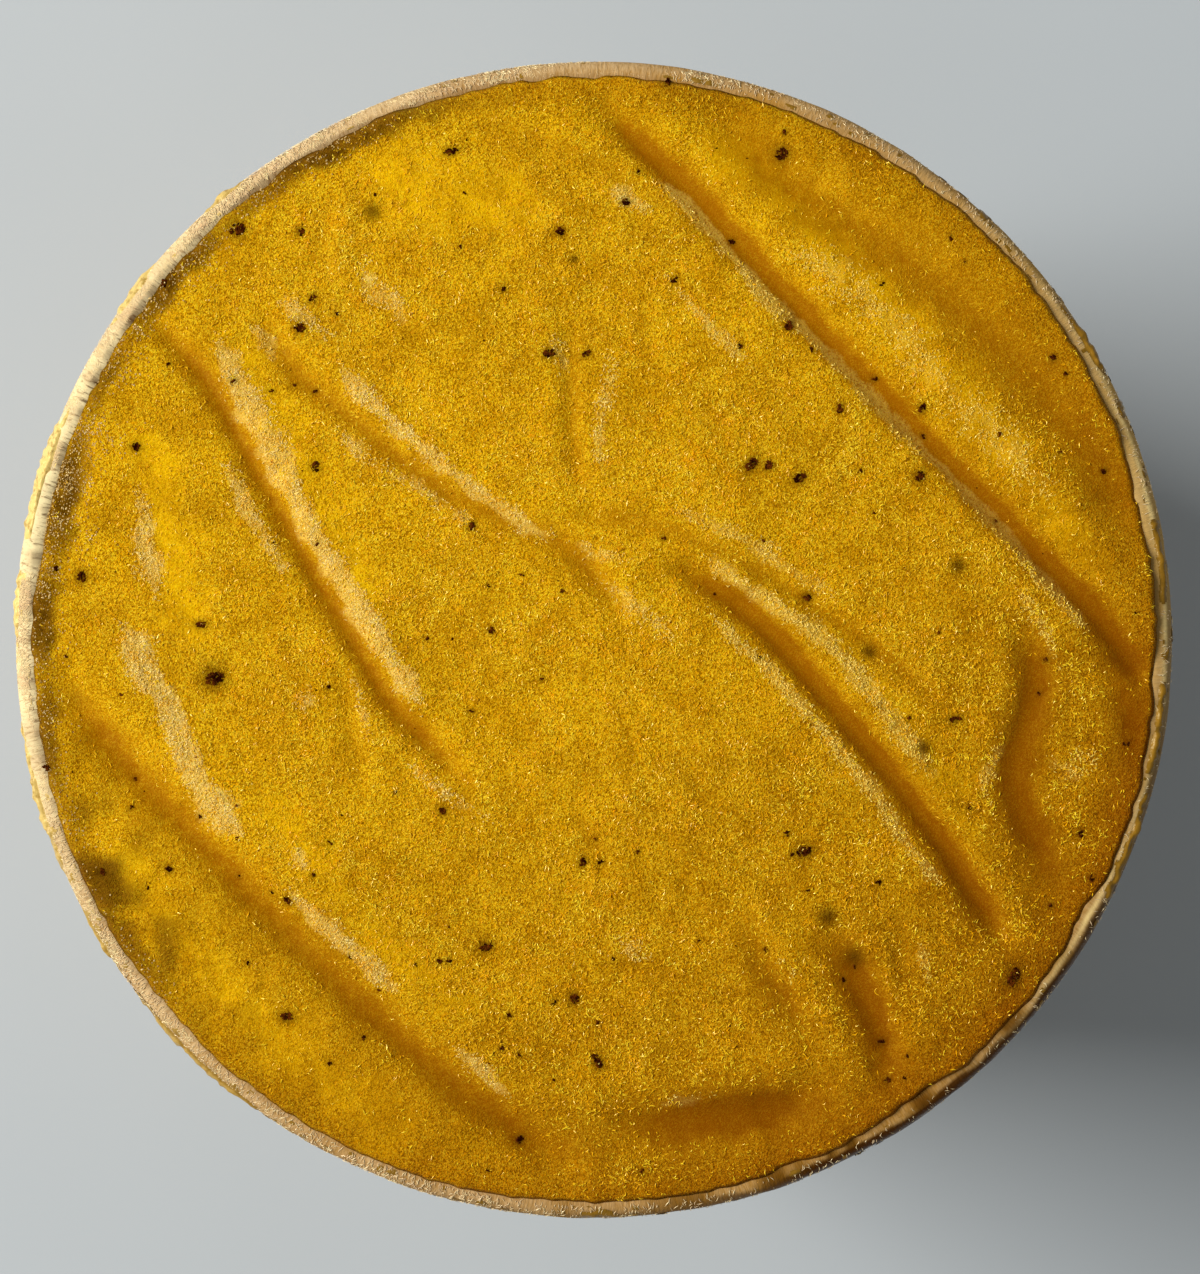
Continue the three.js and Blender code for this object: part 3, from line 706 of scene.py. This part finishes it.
def speck_mesh():
    """Each speck is a torn flake of hull: a cluster of little flat lumps that lie against each other."""
    shape, faces = sphere_points(4, 7)
    rng = seeded(21)
    places, sizes, turns = [], [], []
    for x, y, length, width, turn in ALL_SPECKS:
        lumps = max(1, round(length * width / LUMP_AREA))
        a = math.radians(turn)
        for _ in range(lumps):
            reach = math.sqrt(rng.random()) if lumps > 1 else 0
            u, v = polar(0.42 * reach, rng.random() * 2 * math.pi)
            u, v = rotate(length * u, width * v, a)
            places.append((x + u, y + v))
            size = rng.uniform(0.1, 0.2) if lumps > 1 else 0.5 * length
            sizes.append((size, size * rng.uniform(0.5, 0.9), 0.05 + 0.07 * rng.random()))
            turns.append(a + rng.normal(0, 0.7))
    x, y = np.array(places).T
    places = listed(x, y, sorbet_surface(x, y)[0] + 0.02)
    flat = np.zeros(len(places))
    points, joined = scatter(shape, faces, places, np.array(sizes), np.array(turns), flat, 22)
    return make_mesh("specks", points, joined, smooth_shading=False)


def sliver_mesh(name, places, along, across, lengths, widths, heights, bends):
    """Small curved slivers: two ends, a middle as wide as the sliver and a ridge over it. Open below."""
    up = np.cross(along, across)
    zero = np.zeros(len(places))
    half = lengths / 2
    low = -0.3 * heights
    u = np.stack([-half, zero, half, zero, zero], axis=1)[..., None]
    v = np.stack([zero, bends - widths / 2, zero, bends + widths / 2, bends], axis=1)[..., None]
    w = np.stack([low, low, low, low, heights], axis=1)[..., None]
    body = places[:, None] + u * along[:, None] + v * across[:, None] + w * up[:, None]
    faces = np.array([(0, 1, 4), (1, 2, 4), (2, 3, 4), (3, 0, 4)])
    joined = copied(faces, len(places), body.shape[1])
    return make_mesh(name, body.reshape(-1, 3), joined, smooth_shading=False)


def turned(turns, tilts, rolls):
    """Directions along and across slivers that are turned, tilted and rolled from flat."""
    c, s = np.cos(turns), np.sin(turns)
    along = np.stack([c * np.cos(tilts), s * np.cos(tilts), np.sin(tilts)], axis=1)
    flat = np.stack([-s, c, np.zeros(len(turns))], axis=1)
    up = np.cross(along, flat)
    across = flat * np.cos(rolls)[:, None] + up * np.sin(rolls)[:, None]
    return along, across


def grain_mesh(name, count, number, keep, length, width):
    """Ice grains: short curved slivers lying on the surface. keep gives their density."""
    rng = seeded(number)
    total = count * 5
    x, y = drawn_places(rng, ROLL_RADIUS - 0.4, total)
    chosen = np.flatnonzero(rng.random(total) < keep(x, y))[:count]
    x, y = x[chosen], y[chosen]
    z, inwards = sorbet_surface(x, y)
    inner = inwards > 0.2
    places = listed(x[inner], y[inner], z[inner] + 0.03)
    total = len(places)
    lengths = length[0] + (length[1] - length[0]) * rng.random(total) ** 1.6
    widths = rng.uniform(*width, total)
    heights = widths * rng.uniform(0.15, 0.5, total)
    bends = rng.normal(0, 0.22, total) * lengths
    turns = rng.uniform(0, 2 * np.pi, total)
    tilts = rng.normal(0, 0.3, total)
    along, across = turned(turns, tilts, rng.normal(0, 0.42, total))
    return sliver_mesh(name, places, along, across, lengths, widths, heights, bends)


def patchiness(x, y):
    """Noise between 0 and 1 that gathers the grains in clusters."""
    mix = 0.5 + 0.38 * noise(x, y, 3.5, 60) + 0.3 * noise(x, y, 1.1, 61)
    return np.clip(mix, 0, 1)


def frost_density(x, y):
    """How many frost grains lie at each point, from 0 to 1."""
    uneven = 0.55 * noise(x, y, 0.8, 62) + 0.5 * noise(x, y, 2.6, 63)
    white = 1.6 * field("frost", x, y) * (1 + uneven) - 0.16
    clear = np.clip(1 - 1.3 * field("amber", x, y), 0, 1)
    return np.clip(white * (1 - 1.5 * field("stain", x, y)) * clear, 0, 1)


def scattered_density(x, y):
    """How many golden grains lie at each point, from 0 to 1."""
    clear = np.clip(1 - 1.35 * field("amber", x, y), 0, 1) * np.clip(1 - 1.5 * field("stain", x, y), 0, 1)
    edge = 1 - 0.75 * smoothstep(np.hypot(x, y) + 2 * noise(x, y, 4, 64), 40, 46.5)
    left = 1 - 0.45 * smoothstep(-x, 22, 40)
    lower_left = 1 - 0.6 * smoothstep(-x - y + 2 * noise(x, y, 3, 65), 47, 54)
    clusters = 0.1 + 0.9 * patchiness(x, y) ** 1.5
    return clear * edge * left * lower_left * clusters * (1 - 0.4 * field("lemon", x, y))


def bubble_mesh():
    """Little round pits with a raised bright lip, left by burst bubbles."""
    rng = seeded(70)
    around, across = 14, 5
    u = np.arange(around)[:, None] * 2 * np.pi / around
    v = np.arange(across) * 2 * np.pi / across
    points = []
    for _ in range(BUBBLES):
        x, y = drawn_places(rng, ROLL_RADIUS - 4)
        radius = rng.uniform(0.14, 0.32)
        tube = 0.025 + 0.02 * rng.random()
        wobble = 1 + 0.18 * np.sin(u * 2 + rng.uniform(0, 6)) + 0.08 * rng.normal(0, 1, u.shape)
        px, py = polar(radius * wobble + tube * np.cos(v), u)
        pz = sorbet_surface(x + px, y + py)[0] + tube * np.sin(v)
        pz -= 0.05 * (1 + np.sin(u + rng.uniform(0, 6))) ** 2
        points.append(listed(x + px, y + py, pz))
    lip = squares(closed(closed(point_table(around, across)).T))
    return make_mesh("bubble_rings", np.vstack(points), copied(lip, BUBBLES, around * across))


# Tub

def wall_section():
    """The side wall's section as radius, height and the angle round the roll (0 where it isn't the roll)."""
    foot_inner = wall_inner(0) - (FOOT_THICKNESS - BOARD)
    foot_outer = wall_inner(0) + BOARD
    rows = [(foot_inner + FOOT_BEVEL, 0, 0), (foot_outer - FOOT_BEVEL, 0, 0)]
    for bend in np.radians([30, 60, 90]):
        rows.append((foot_outer - FOOT_BEVEL * (1 - math.sin(bend)), FOOT_BEVEL * (1 - math.cos(bend)), 0))
    rows += [(wall_inner(z) + BOARD, z, 0) for z in OUTER_ROWS]
    rows += [(*roll_point(angle, BOARD), 0) for angle in np.linspace(180, CURL_END, ROLL_INSIDE_ROWS)]
    rows += [(*roll_point(angle, 0), angle) for angle in np.linspace(180, CURL_END, ROLL_ROWS)[::-1]]
    rows += [(wall_inner(z), z, 0) for z in INNER_ROWS]
    rows.append((foot_inner + 2 * FOOT_BEVEL, FOOT_HEIGHT, 0))
    rows += [(foot_inner, z, 0) for z in np.linspace(FOOT_HEIGHT - FOOT_BEVEL, FOOT_BEVEL, 5)]
    return np.array(rows, float)


def roll_stains_and_light(x, y, z, degrees, angle):
    """Where the sorbet has soaked and smeared the roll, with painted shade on its sides away from the window,
    pale ice with painted light toward the window, and a painted highlight along its crest.
    """
    waver = noise(x, y, 1.5, 43)
    blotch = smoothstep(noise(x, y, 3.1, 44) + 0.6 * noise(x, y, 1.2, 45), -0.2, 0.7)
    mottle = noise(x + 0.5 * z, y, 0.8, 46) + 0.6 * noise(x, y, 2.5, 47)
    # wet inside of the roll, with painted shade where it faces away from the window
    inside = smoothstep(angle + 9 * waver, 76, 90) * (0.1 + sum(windows(degrees, WET_AND_SHADE_INSIDE)))
    # painted shade on the outer side of the roll away from the window, with wet stain
    outside = smoothstep(80 + 12 * waver - angle, 0, 24) * sum(windows(degrees, SHADE_AND_WET_OUTSIDE))
    spots = 0.9 * blotch * round_rim(degrees, 303, 34)
    yellow_top = (0.35 + 0.3 * smoothstep(angle, 60, 85)) * round_rim(degrees, 88, 34)
    # painted highlight along the crest of the roll
    crest = np.exp(-((angle - 61 - 22 * round_rim(degrees, 330, 14) - 5 * waver) / 10) ** 2)
    crest = crest * np.maximum.reduce(windows(degrees, CREST_LIGHT))
    return {
        "wet": np.maximum.reduce([inside, outside, spots]),
        "yellow": (sum(windows(degrees, YELLOW_ROLL)) + yellow_top) * (0.7 + 0.3 * blotch),
        "crest": crest * (0.8 + 0.35 * waver) + 0.35 * round_rim(degrees, 20, 30),
        # pale ice on the roll, lightest toward the window: partly painted light
        "pale": 1.05 * round_rim(degrees, 166, 36) * smoothstep(angle, -10, 20) * (0.75 + 0.8 * mottle),
    }


def wall_mesh():
    """The side wall with its foot ring, its lapped seam and its rolled rim."""
    section = wall_section()
    sides = np.arange(WALL_SIDES) * 2 * np.pi / WALL_SIDES
    theta, row = np.meshgrid(sides, np.arange(len(section)), indexing="ij")
    r, z, angle = (section[row, k] for k in range(3))
    degrees = np.degrees(theta)
    arc = np.radians((degrees - LAP_ANGLE + 180) % 360 - 180) * RIM_RADIUS
    on_lap = smoothstep(LAP_WIDTH / 2 - np.abs(arc), 0, 0.35)
    x, y = polar(RIM_RADIUS, theta)
    rolled = (np.abs(angle) > 1e-6) | ((r > ROLL_RADIUS + 0.5) & (z > ROLL_Z - 2))
    outer = (z > FOOT_BEVEL) & (z < ROLL_Z - ROLL_HALF_HEIGHT - 0.2) & (r > wall_inner(z) + BOARD / 2)
    inner_foot = (z < FOOT_HEIGHT - 0.1) & (z > 0.1) & (r < wall_inner(z) - 0.5)
    # The roll is a little uneven, and thicker where the seam runs through it
    uneven = 0.07 * noise(x, y, 7, 40) + 0.05 * noise(x + 3 * z, y, 1.8, 41)
    r = r + np.where(rolled, uneven + 0.12 * on_lap, 0)
    z = z + np.where(rolled, 0.06 * noise(x, y, 4.5, 42) + 0.1 * on_lap, 0)
    # Crimp: a shallow pressed line outside, and fine ribs inside the foot
    pressed = np.exp(-((z - FOOT_HEIGHT - 0.3) / 0.35) ** 2)
    r = r + np.where(outer, BOARD * 0.9 * on_lap - 0.12 * pressed, 0)
    r = r + np.where(inner_foot, 0.12 * np.sin(theta * 180), 0)
    points = listed(*polar(r, theta), z)
    faces = squares(closed(closed(point_table(*r.shape)).T))
    stained_and_lit = rolled & (angle > -20)
    stains_and_light = roll_stains_and_light(x, y, z, degrees, angle).items()
    attributes = {name: np.where(stained_and_lit, np.clip(stain, 0, 1), 0) for name, stain in stains_and_light}
    attributes["fibre"] = listed(x, y, 0.22 * (z + ROLL_RADIUS - r)) * MM
    return make_mesh("tub_wall", points, faces, attributes)


def base_section():
    """The base board's section as radius and height, with a shallow ring pressed up into its underside."""
    rows = [(r, BASE_TOP) for r in np.linspace(1, BASE_RADIUS - 0.1, 30)]
    rows += [(BASE_RADIUS, BASE_TOP - 0.12), (BASE_RADIUS, BASE_Z + 0.12)]
    for r in np.linspace(BASE_RADIUS - 0.1, 1, 60):
        rows.append((r, BASE_Z + 0.15 * math.exp(-((r - BASE_RADIUS + 5) / 0.6) ** 2)))
    return np.array(rows)


def base_mesh():
    """The raised base board."""
    r, z = base_section().T
    theta = np.arange(BASE_SIDES)[:, None] * 2 * np.pi / BASE_SIDES
    points = np.vstack([listed(*polar(r, theta), z), [[0, 0, BASE_TOP], [0, 0, BASE_Z]]])
    index = closed(point_table(BASE_SIDES, len(r)))
    quads = squares(index)
    triangles = np.vstack([quads[:, [0, 1, 2]], quads[:, [0, 2, 3]]])
    top = len(points) - 2
    caps = [(top, a, b) for a, b in zip(index[:, 0], index[1:, 0])]
    caps += [(top + 1, b, a) for a, b in zip(index[:, -1], index[1:, -1])]
    return make_mesh("base_board", points, np.vstack([triangles, caps]), {"fibre": points * MM})


# What clings to the rim

def rim_frost_mesh():
    """Fuzz of ice and paper fibre over the roll, lying mostly across it."""
    rng = seeded(80)
    total = RIM_SLIVERS * 3
    theta = rng.uniform(0, 360, total)
    angle = rng.uniform(8, 86, total)
    x, y = polar(RIM_RADIUS, np.radians(theta))
    density = (0.05 + sum(windows(theta, FUZZ))) * (0.45 + 0.55 * smoothstep(noise(x, y, 2.2, 81), -0.5, 0.5))
    chosen = np.flatnonzero(rng.random(total) < density)[:RIM_SLIVERS]
    theta, angle = np.radians(theta[chosen]), angle[chosen]
    total = len(chosen)
    r, z = roll_point(angle, -0.04)
    slope_r = ROLL_HALF_WIDTH * np.sin(np.radians(angle))
    slope_z = -ROLL_HALF_HEIGHT * np.cos(np.radians(angle))
    size = np.hypot(slope_r, slope_z)
    over = listed(*polar(slope_r / size, theta), slope_z / size)
    round_way = listed(-np.sin(theta), np.cos(theta), 0)
    turn = rng.normal(0, 0.55, total)[:, None]
    across, along = rotate(round_way, over, turn)
    lengths = rng.uniform(0.2, 0.7, total)
    widths = rng.uniform(0.05, 0.1, total)
    bends = rng.normal(0, 0.15, total) * lengths
    places = listed(*polar(r, theta), z)
    return sliver_mesh("rim_frost", places, along, across, lengths, widths, 0.4 * widths, bends)


def smear_mesh():
    """Ragged smears of sorbet on the outer side of the roll."""
    degrees = np.linspace(0, 360, SMEAR_COLUMNS, endpoint=False)
    degrees, angle = np.meshgrid(degrees, np.linspace(-25, 85, SMEAR_ROWS), indexing="ij")
    theta = np.radians(degrees)
    arc, run = theta * RIM_RADIUS, angle * 0.025
    thick = np.full(theta.shape, -1.0)
    for middle, half, low, high, depth in SMEARS:
        band = smoothstep(angle, low, low + 18) * (1 - smoothstep(angle, high - 18, high))
        thick = np.maximum(thick, depth * (1.3 * round_rim(degrees, middle, half) * band - 0.55))
    thick = thick + 0.14 * noise(arc, run, 1.1, 90) + 0.12 * noise(arc, run, 0.45, 91)
    r, z = roll_point(angle, -np.maximum(thick, 0) - 0.02)
    points = listed(*polar(r, theta), z)
    table = squares(closed(point_table(*theta.shape)).T)
    kept = table[(thick.ravel()[table] > 0).any(axis=1)]
    used, faces = np.unique(kept, return_inverse=True)
    attributes = {"thick": thick.ravel()[used], "lit": round_rim(degrees.ravel()[used], 165, 60)}
    return make_mesh("rim_smears", points[used], faces.reshape(kept.shape), attributes)


def edge_ice_mesh():
    """Little rough lumps of glassy ice in clusters by the rim."""
    rng = seeded(95)
    shape, faces = sphere_points(3, 5)
    places, sizes = [], []
    for middle, half, depth, count in ICE_CLUSTERS:
        theta = np.radians(rng.normal(middle, half * 0.8, count))
        x, y = polar(ROLL_RADIUS - 0.3 - np.abs(rng.normal(0, depth, count)), theta)
        places.append(listed(x, y, sorbet_surface(x, y)[0]))
        sizes.append(rng.uniform(0.06, 0.19, (count, 3)) * (1, 0.6, 0.5))
    places = np.vstack(places)
    turns = rng.uniform(0, 6.3, len(places))
    tilts = rng.normal(0, 0.6, len(places))
    points, joined = scatter(shape, faces, places, np.vstack(sizes), turns, tilts, 96)
    return make_mesh("edge_ice", points, joined, smooth_shading=False)


# Materials

class Finish:
    """A material being built: adds nodes and joins their sockets. Sizes are in millimetres."""

    def __init__(self, name):
        self.material = bpy.data.materials.new(name)
        self.material.use_nodes = True
        self.tree = self.material.node_tree
        self.shader = self.tree.nodes["Principled BSDF"]

    def plug(self, socket, value):
        if isinstance(value, bpy.types.NodeSocket):
            self.tree.links.new(value, socket)
        elif isinstance(value, tuple) and len(value) == 3 and len(socket.default_value) == 4:
            socket.default_value = (*value, 1)
        else:
            socket.default_value = value

    def add(self, kind, settings=None, **inputs):
        node = self.tree.nodes.new(kind)
        for key, value in (settings or {}).items():
            setattr(node, key, value)
        for key, value in inputs.items():
            self.plug(node.inputs[key.replace("_", " ")], value)
        return node

    def attribute(self, name, output="Fac"):
        return self.add("ShaderNodeAttribute", {"attribute_name": name}).outputs[output]

    def place(self, axis=None):
        place = self.add("ShaderNodeTexCoord").outputs["Object"]
        return self.add("ShaderNodeSeparateXYZ", Vector=place).outputs[axis] if axis else place

    def noise(self, size_mm, detail=2.0, roughness=0.5, distortion=0.0, vector=None):
        node = self.add("ShaderNodeTexNoise", Vector=vector or self.place(), Scale=1 / (size_mm * MM),
                        Detail=detail, Roughness=roughness, Distortion=distortion)
        return node.outputs["Fac"]

    def remap(self, value, low, high, to_low=0.0, to_high=1.0):
        node = self.add("ShaderNodeMapRange", Value=value, From_Min=low, From_Max=high, To_Min=to_low,
                        To_Max=to_high)
        return node.outputs["Result"]

    def math(self, operation, a, b=0.0):
        node = self.add("ShaderNodeMath", {"operation": operation})
        self.plug(node.inputs[0], a)
        self.plug(node.inputs[1], b)
        return node.outputs[0]

    def times(self, a, b):
        return self.math("MULTIPLY", a, b)

    def plus(self, a, b):
        return self.math("ADD", a, b)

    def minus(self, a, b):
        return self.math("SUBTRACT", a, b)

    def blend(self, factor, a, b, kind="MIX"):
        node = self.add("ShaderNodeMix", {"data_type": "RGBA", "blend_type": kind})
        self.plug(node.inputs[0], factor)
        self.plug(node.inputs[6], a)
        self.plug(node.inputs[7], b)
        return node.outputs[2]

    def rightness(self):
        """How far toward +X a point is, from 0 to 0.85."""
        return self.remap(self.place("X"), -20 * MM, 25 * MM, 0.0, 0.85)

    def set(self, **inputs):
        for key, value in inputs.items():
            self.plug(self.shader.inputs[key.replace("_", " ")], value)

    def bump(self, height, depth_mm):
        node = self.add("ShaderNodeBump", Height=height, Distance=depth_mm * MM, Strength=1.0)
        return node.outputs["Normal"]


def sorbet_finish():
    f = Finish("icy_sorbet")
    curls = f.noise(0.34, roughness=0.6, distortion=1.8)
    fine = f.noise(0.17, detail=1.0, distortion=0.8)
    middle = f.noise(1.1)
    patch = f.noise(3.2, detail=3.0, roughness=0.6)
    broad = f.noise(12.0)
    # Masks with ragged edges
    off_middle = f.minus(middle, 0.5)
    off_patch = f.minus(patch, 0.5)
    ragged = f.plus(f.times(off_middle, 0.4), f.times(off_patch, 0.35))
    rougher = f.plus(f.times(off_middle, 0.9), f.times(off_patch, 0.6))
    wet = f.remap(f.plus(f.attribute("amber"), ragged), 0.10, 0.80)
    frosted = f.remap(f.plus(f.attribute("frost"), rougher), 0.34, 0.72)
    lemon = f.remap(f.plus(f.attribute("lemon"), f.times(ragged, 2.0)), 0.3, 0.8)
    dry = f.minus(1.0, f.times(wet, 0.8))
    rough_share = f.times(dry, f.minus(1.0, f.times(lemon, 0.5)))
    # Colour
    color = f.blend(f.remap(broad, 0.38, 0.62), YELLOW, tuple(0.88 * c for c in YELLOW))
    color = f.blend(f.times(lemon, 0.8), color, LEMON)
    color = f.blend(f.remap(patch, 0.58, 0.40, 0.0, 0.35), color, AMBER)
    color = f.blend(wet, color, AMBER)
    dark = f.times(f.remap(fine, 0.52, 0.36), f.times(rough_share, 0.8))
    color = f.blend(dark, color, SHADE)
    ridge = f.math("ABSOLUTE", f.minus(curls, 0.5))
    glint = f.times(f.remap(ridge, 0.075, 0.01), f.remap(fine, 0.40, 0.54))
    glint = f.times(glint, f.times(rough_share, f.remap(patch, 0.32, 0.55, 0.4, 1.0)))
    color = f.blend(glint, color, GLINT)
    veil = f.times(frosted, f.remap(curls, 0.36, 0.56, 0.15, 0.75))
    rightness = f.rightness()
    veil = f.times(veil, f.minus(1.0, f.times(rightness, 0.7)))
    color = f.blend(veil, color, f.blend(rightness, FROST, FROST_GOLD))
    color = f.blend(f.times(frosted, glint), color, f.blend(rightness, FROST_PALE, FROST_GOLD))
    # brown glassy ice by the rim, darkened with painted shadow of the rim
    brown = f.remap(f.plus(f.attribute("brown"), ragged), 0.2, 0.85)
    glassy = f.blend(f.remap(middle, 0.42, 0.58), EDGE_DARK, EDGE_BROWN)
    color = f.blend(f.times(brown, 0.92), color, glassy)
    color = f.blend(f.times(f.attribute("stain"), 0.9), color, SPECK_STAIN)
    # painted shade toward the side away from the window, with darker, redder colour toward the edge and by
    # the rim
    color = f.blend(f.attribute("deep"), color, DEEP_AND_SHADE, "MULTIPLY")
    # Relief
    height = f.times(f.plus(curls, f.times(fine, 0.6)), rough_share)
    rough = f.minus(0.6, f.times(wet, 0.2))
    f.set(Base_Color=color, Roughness=rough, Normal=f.bump(height, 0.18), Specular_IOR_Level=0.2,
          Specular_Tint=WARM_GLOSS, Subsurface_Weight=0.12, Subsurface_Radius=(1.0, 0.45, 0.02),
          Subsurface_Scale=0.8 * MM)
    return f.material


def grain_finish(name, color, deep_color, gloss, right_color=None):
    """Ice grains. right_color is what they tend to toward +X."""
    f = Finish(name)
    vary = f.noise(1.3)
    shade = f.blend(f.remap(vary, 0.35, 0.65), deep_color, color)
    if right_color:
        shade = f.blend(f.rightness(), shade, right_color)
    f.set(Base_Color=shade, Roughness=0.25, Specular_IOR_Level=0.8, Specular_Tint=gloss)
    return f.material


def speck_finish():
    f = Finish("speck_hull")
    vary = f.noise(0.5, detail=3.0)
    color = f.blend(f.remap(vary, 0.4, 0.65), SPECK_BLACK, SPECK_BROWN)
    normal = f.bump(f.noise(0.18, detail=3.0), 0.06)
    f.set(Base_Color=color, Roughness=0.7, Normal=normal, Specular_IOR_Level=0.0)
    return f.material


def smear_finish():
    f = Finish("sorbet_smear")
    lumps = f.noise(0.5, detail=3.0)
    thick = f.remap(f.attribute("thick"), 0.0, 0.2)
    color = f.blend(f.attribute("lit"), SMEAR, SMEAR_PALE)
    color = f.blend(f.math("MAXIMUM", thick, f.attribute("lit")), tuple(0.75 * c for c in SMEAR), color)
    color = f.blend(f.remap(lumps, 0.5, 0.35, 0.0, 0.6), color, SMEAR)
    f.set(Base_Color=color, Roughness=0.35, Normal=f.bump(lumps, 0.1), Specular_IOR_Level=0.5,
          Specular_Tint=ICE_GLOSS)
    return f.material


def kraft_finish(with_stains_and_light):
    f = Finish("kraft_board" if with_stains_and_light else "kraft_base")
    fibre = f.attribute("fibre", "Vector")
    strands = f.noise(0.24, detail=3.0, roughness=0.6, distortion=0.4, vector=fibre)
    flecks = f.noise(0.9, detail=4.0, roughness=0.7)
    cloud = f.noise(9.0, detail=3.0)
    color = f.blend(f.remap(strands, 0.34, 0.62), KRAFT_DARK, KRAFT_PALE)
    # The rolled rim's torn fibres show more than the smooth side
    smooth_share = f.remap(f.place("Z"), 83 * MM, 85 * MM, 0.78, 0.35)
    color = f.blend(smooth_share, color, KRAFT)
    color = f.blend(f.remap(flecks, 0.62, 0.78, 0.0, 0.5), color, KRAFT_DARK)
    color = f.blend(f.remap(cloud, 0.4, 0.65, 0.0, 0.25), color, KRAFT_PALE)
    rough = 0.85
    height = f.plus(strands, f.times(flecks, 0.5))
    if with_stains_and_light:
        wet = f.attribute("wet")
        gap = f.remap(strands, 0.48, 0.34)
        color = f.blend(f.times(f.attribute("yellow"), 0.9), color, KRAFT_YELLOW)
        # wet stain and painted shade on the roll
        color = f.blend(wet, color, KRAFT_WET_AND_SHADE)
        # pale ice and painted light on the side of the roll toward the window
        pale = f.times(f.attribute("pale"), f.minus(1.0, f.times(gap, 0.8)))
        color = f.blend(pale, color, RIM_ICE_AND_LIGHT)
        # painted highlight along the crest
        color = f.blend(f.attribute("crest"), color, CREST_HIGHLIGHT)
        rough = f.minus(0.85, f.times(wet, 0.6))
    normal = f.bump(height, 0.1)
    f.set(Base_Color=color, Roughness=rough, Normal=normal, Specular_IOR_Level=0.15, Specular_Tint=GOLD_GLOSS)
    return f.material


def floor_finish():
    f = Finish("plain_floor")
    cloud = f.noise(60.0)
    color = f.blend(f.remap(cloud, 0.3, 0.7), FLOOR, tuple(0.97 * c for c in FLOOR))
    f.set(Base_Color=color, Roughness=0.7, Specular_IOR_Level=0.2)
    return f.material


# Stage: floor, lights and camera

CAMERA_HEIGHT = 260
RIM_PIXELS = 577.5
FRAME_PIXELS = (1200, 1274)
TUB_CENTRE_PIXEL = (594.5, 640.0)
SENSOR = 36
FLOOR_HALF = 2000
FLOOR_CELLS = 8
FLOOR_DROP = 0.2
WINDOW_COLOR = (1.0, 0.99, 0.97)
ROOM_COLOR = (0.93, 0.97, 1.0)
ROOM_STRENGTH = 0.22


def add_floor():
    line = np.linspace(-FLOOR_HALF, FLOOR_HALF, FLOOR_CELLS + 1)
    points = listed(*np.meshgrid(line, line), -FLOOR_DROP)
    floor = make_mesh("floor", points, squares(point_table(len(line), len(line))))
    floor.data.materials.append(floor_finish())


def add_camera():
    """Straight above the tub, with its centre and rim where the photograph has them."""
    camera = bpy.data.objects.new("camera", bpy.data.cameras.new("camera"))
    depth = TUB_HEIGHT + CAMERA_HEIGHT - ROLL_Z
    pixels_per_mm = RIM_PIXELS / RIM_RADIUS
    camera.data.sensor_width = SENSOR
    camera.data.lens = pixels_per_mm * depth * SENSOR / max(FRAME_PIXELS)
    camera.data.clip_start = 0.01
    dx = (FRAME_PIXELS[0] / 2 - TUB_CENTRE_PIXEL[0]) / pixels_per_mm
    dy = (TUB_CENTRE_PIXEL[1] - FRAME_PIXELS[1] / 2) / pixels_per_mm
    camera.location = (dx * MM, dy * MM, (TUB_HEIGHT + CAMERA_HEIGHT) * MM)
    bpy.context.scene.collection.objects.link(camera)
    bpy.context.scene.camera = camera


def add_light(name, azimuth, elevation, distance, size, power, color):
    lamp = bpy.data.lights.new(name, "AREA")
    lamp.size = size
    lamp.energy = power
    lamp.color = color
    light = bpy.data.objects.new(name, lamp)
    a, e = math.radians(azimuth), math.radians(elevation)
    away = (math.cos(e) * math.cos(a), math.cos(e) * math.sin(a), math.sin(e))
    light.location = [distance * k for k in away]
    light.location.z += TUB_HEIGHT * MM
    light.rotation_euler = (0, math.radians(90 - elevation), a)
    bpy.context.scene.collection.objects.link(light)


def add_lights():
    """A window at the left, a little above, and soft light from all round."""
    add_light("window", azimuth=166, elevation=40, distance=1.5, size=0.7, power=27, color=WINDOW_COLOR)
    world = bpy.data.worlds.new("soft_room")
    world.use_nodes = True
    background = world.node_tree.nodes["Background"]
    background.inputs["Color"].default_value = (*ROOM_COLOR, 1)
    background.inputs["Strength"].default_value = ROOM_STRENGTH
    bpy.context.scene.world = world
    bpy.context.scene.view_settings.view_transform = "Standard"


def dress(piece, finish, node=None):
    """Give a piece its material and body, and hide the node that it replaces."""
    piece.data.materials.append(finish)
    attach(piece, BODY)
    if node:
        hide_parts(node)


def main():
    dress(sorbet_mesh(), sorbet_finish(), "sorbet")
    dress(speck_mesh(), speck_finish())
    dress(grain_mesh("frost_grains", FROST_GRAINS, 50, frost_density, length=(0.15, 0.5),
                     width=(0.07, 0.14)),
          grain_finish("frost_ice", FROST_PALE, FROST, GOLD_GLOSS, FROST_GOLD))
    dress(grain_mesh("golden_grains", GOLDEN_GRAINS, 55, scattered_density, length=(0.2, 0.7),
                     width=(0.06, 0.14)),
          grain_finish("golden_ice", GLINT, YELLOW, GOLD_GLOSS))
    dress(bubble_mesh(), grain_finish("bubble_ice", GLINT, YELLOW, GOLD_GLOSS))
    dress(edge_ice_mesh(), grain_finish("edge_glass", EDGE_GLASS, EDGE_ICE, GOLD_GLOSS))
    dress(smear_mesh(), smear_finish())
    dress(rim_frost_mesh(), grain_finish("rim_fuzz", RIM_ICE_AND_LIGHT, KRAFT_PALE, ICE_GLOSS))
    dress(wall_mesh(), kraft_finish(True), "cup_wall")
    dress(base_mesh(), kraft_finish(False), "cup_base")
    add_floor()
    add_lights()
    add_camera()


main()
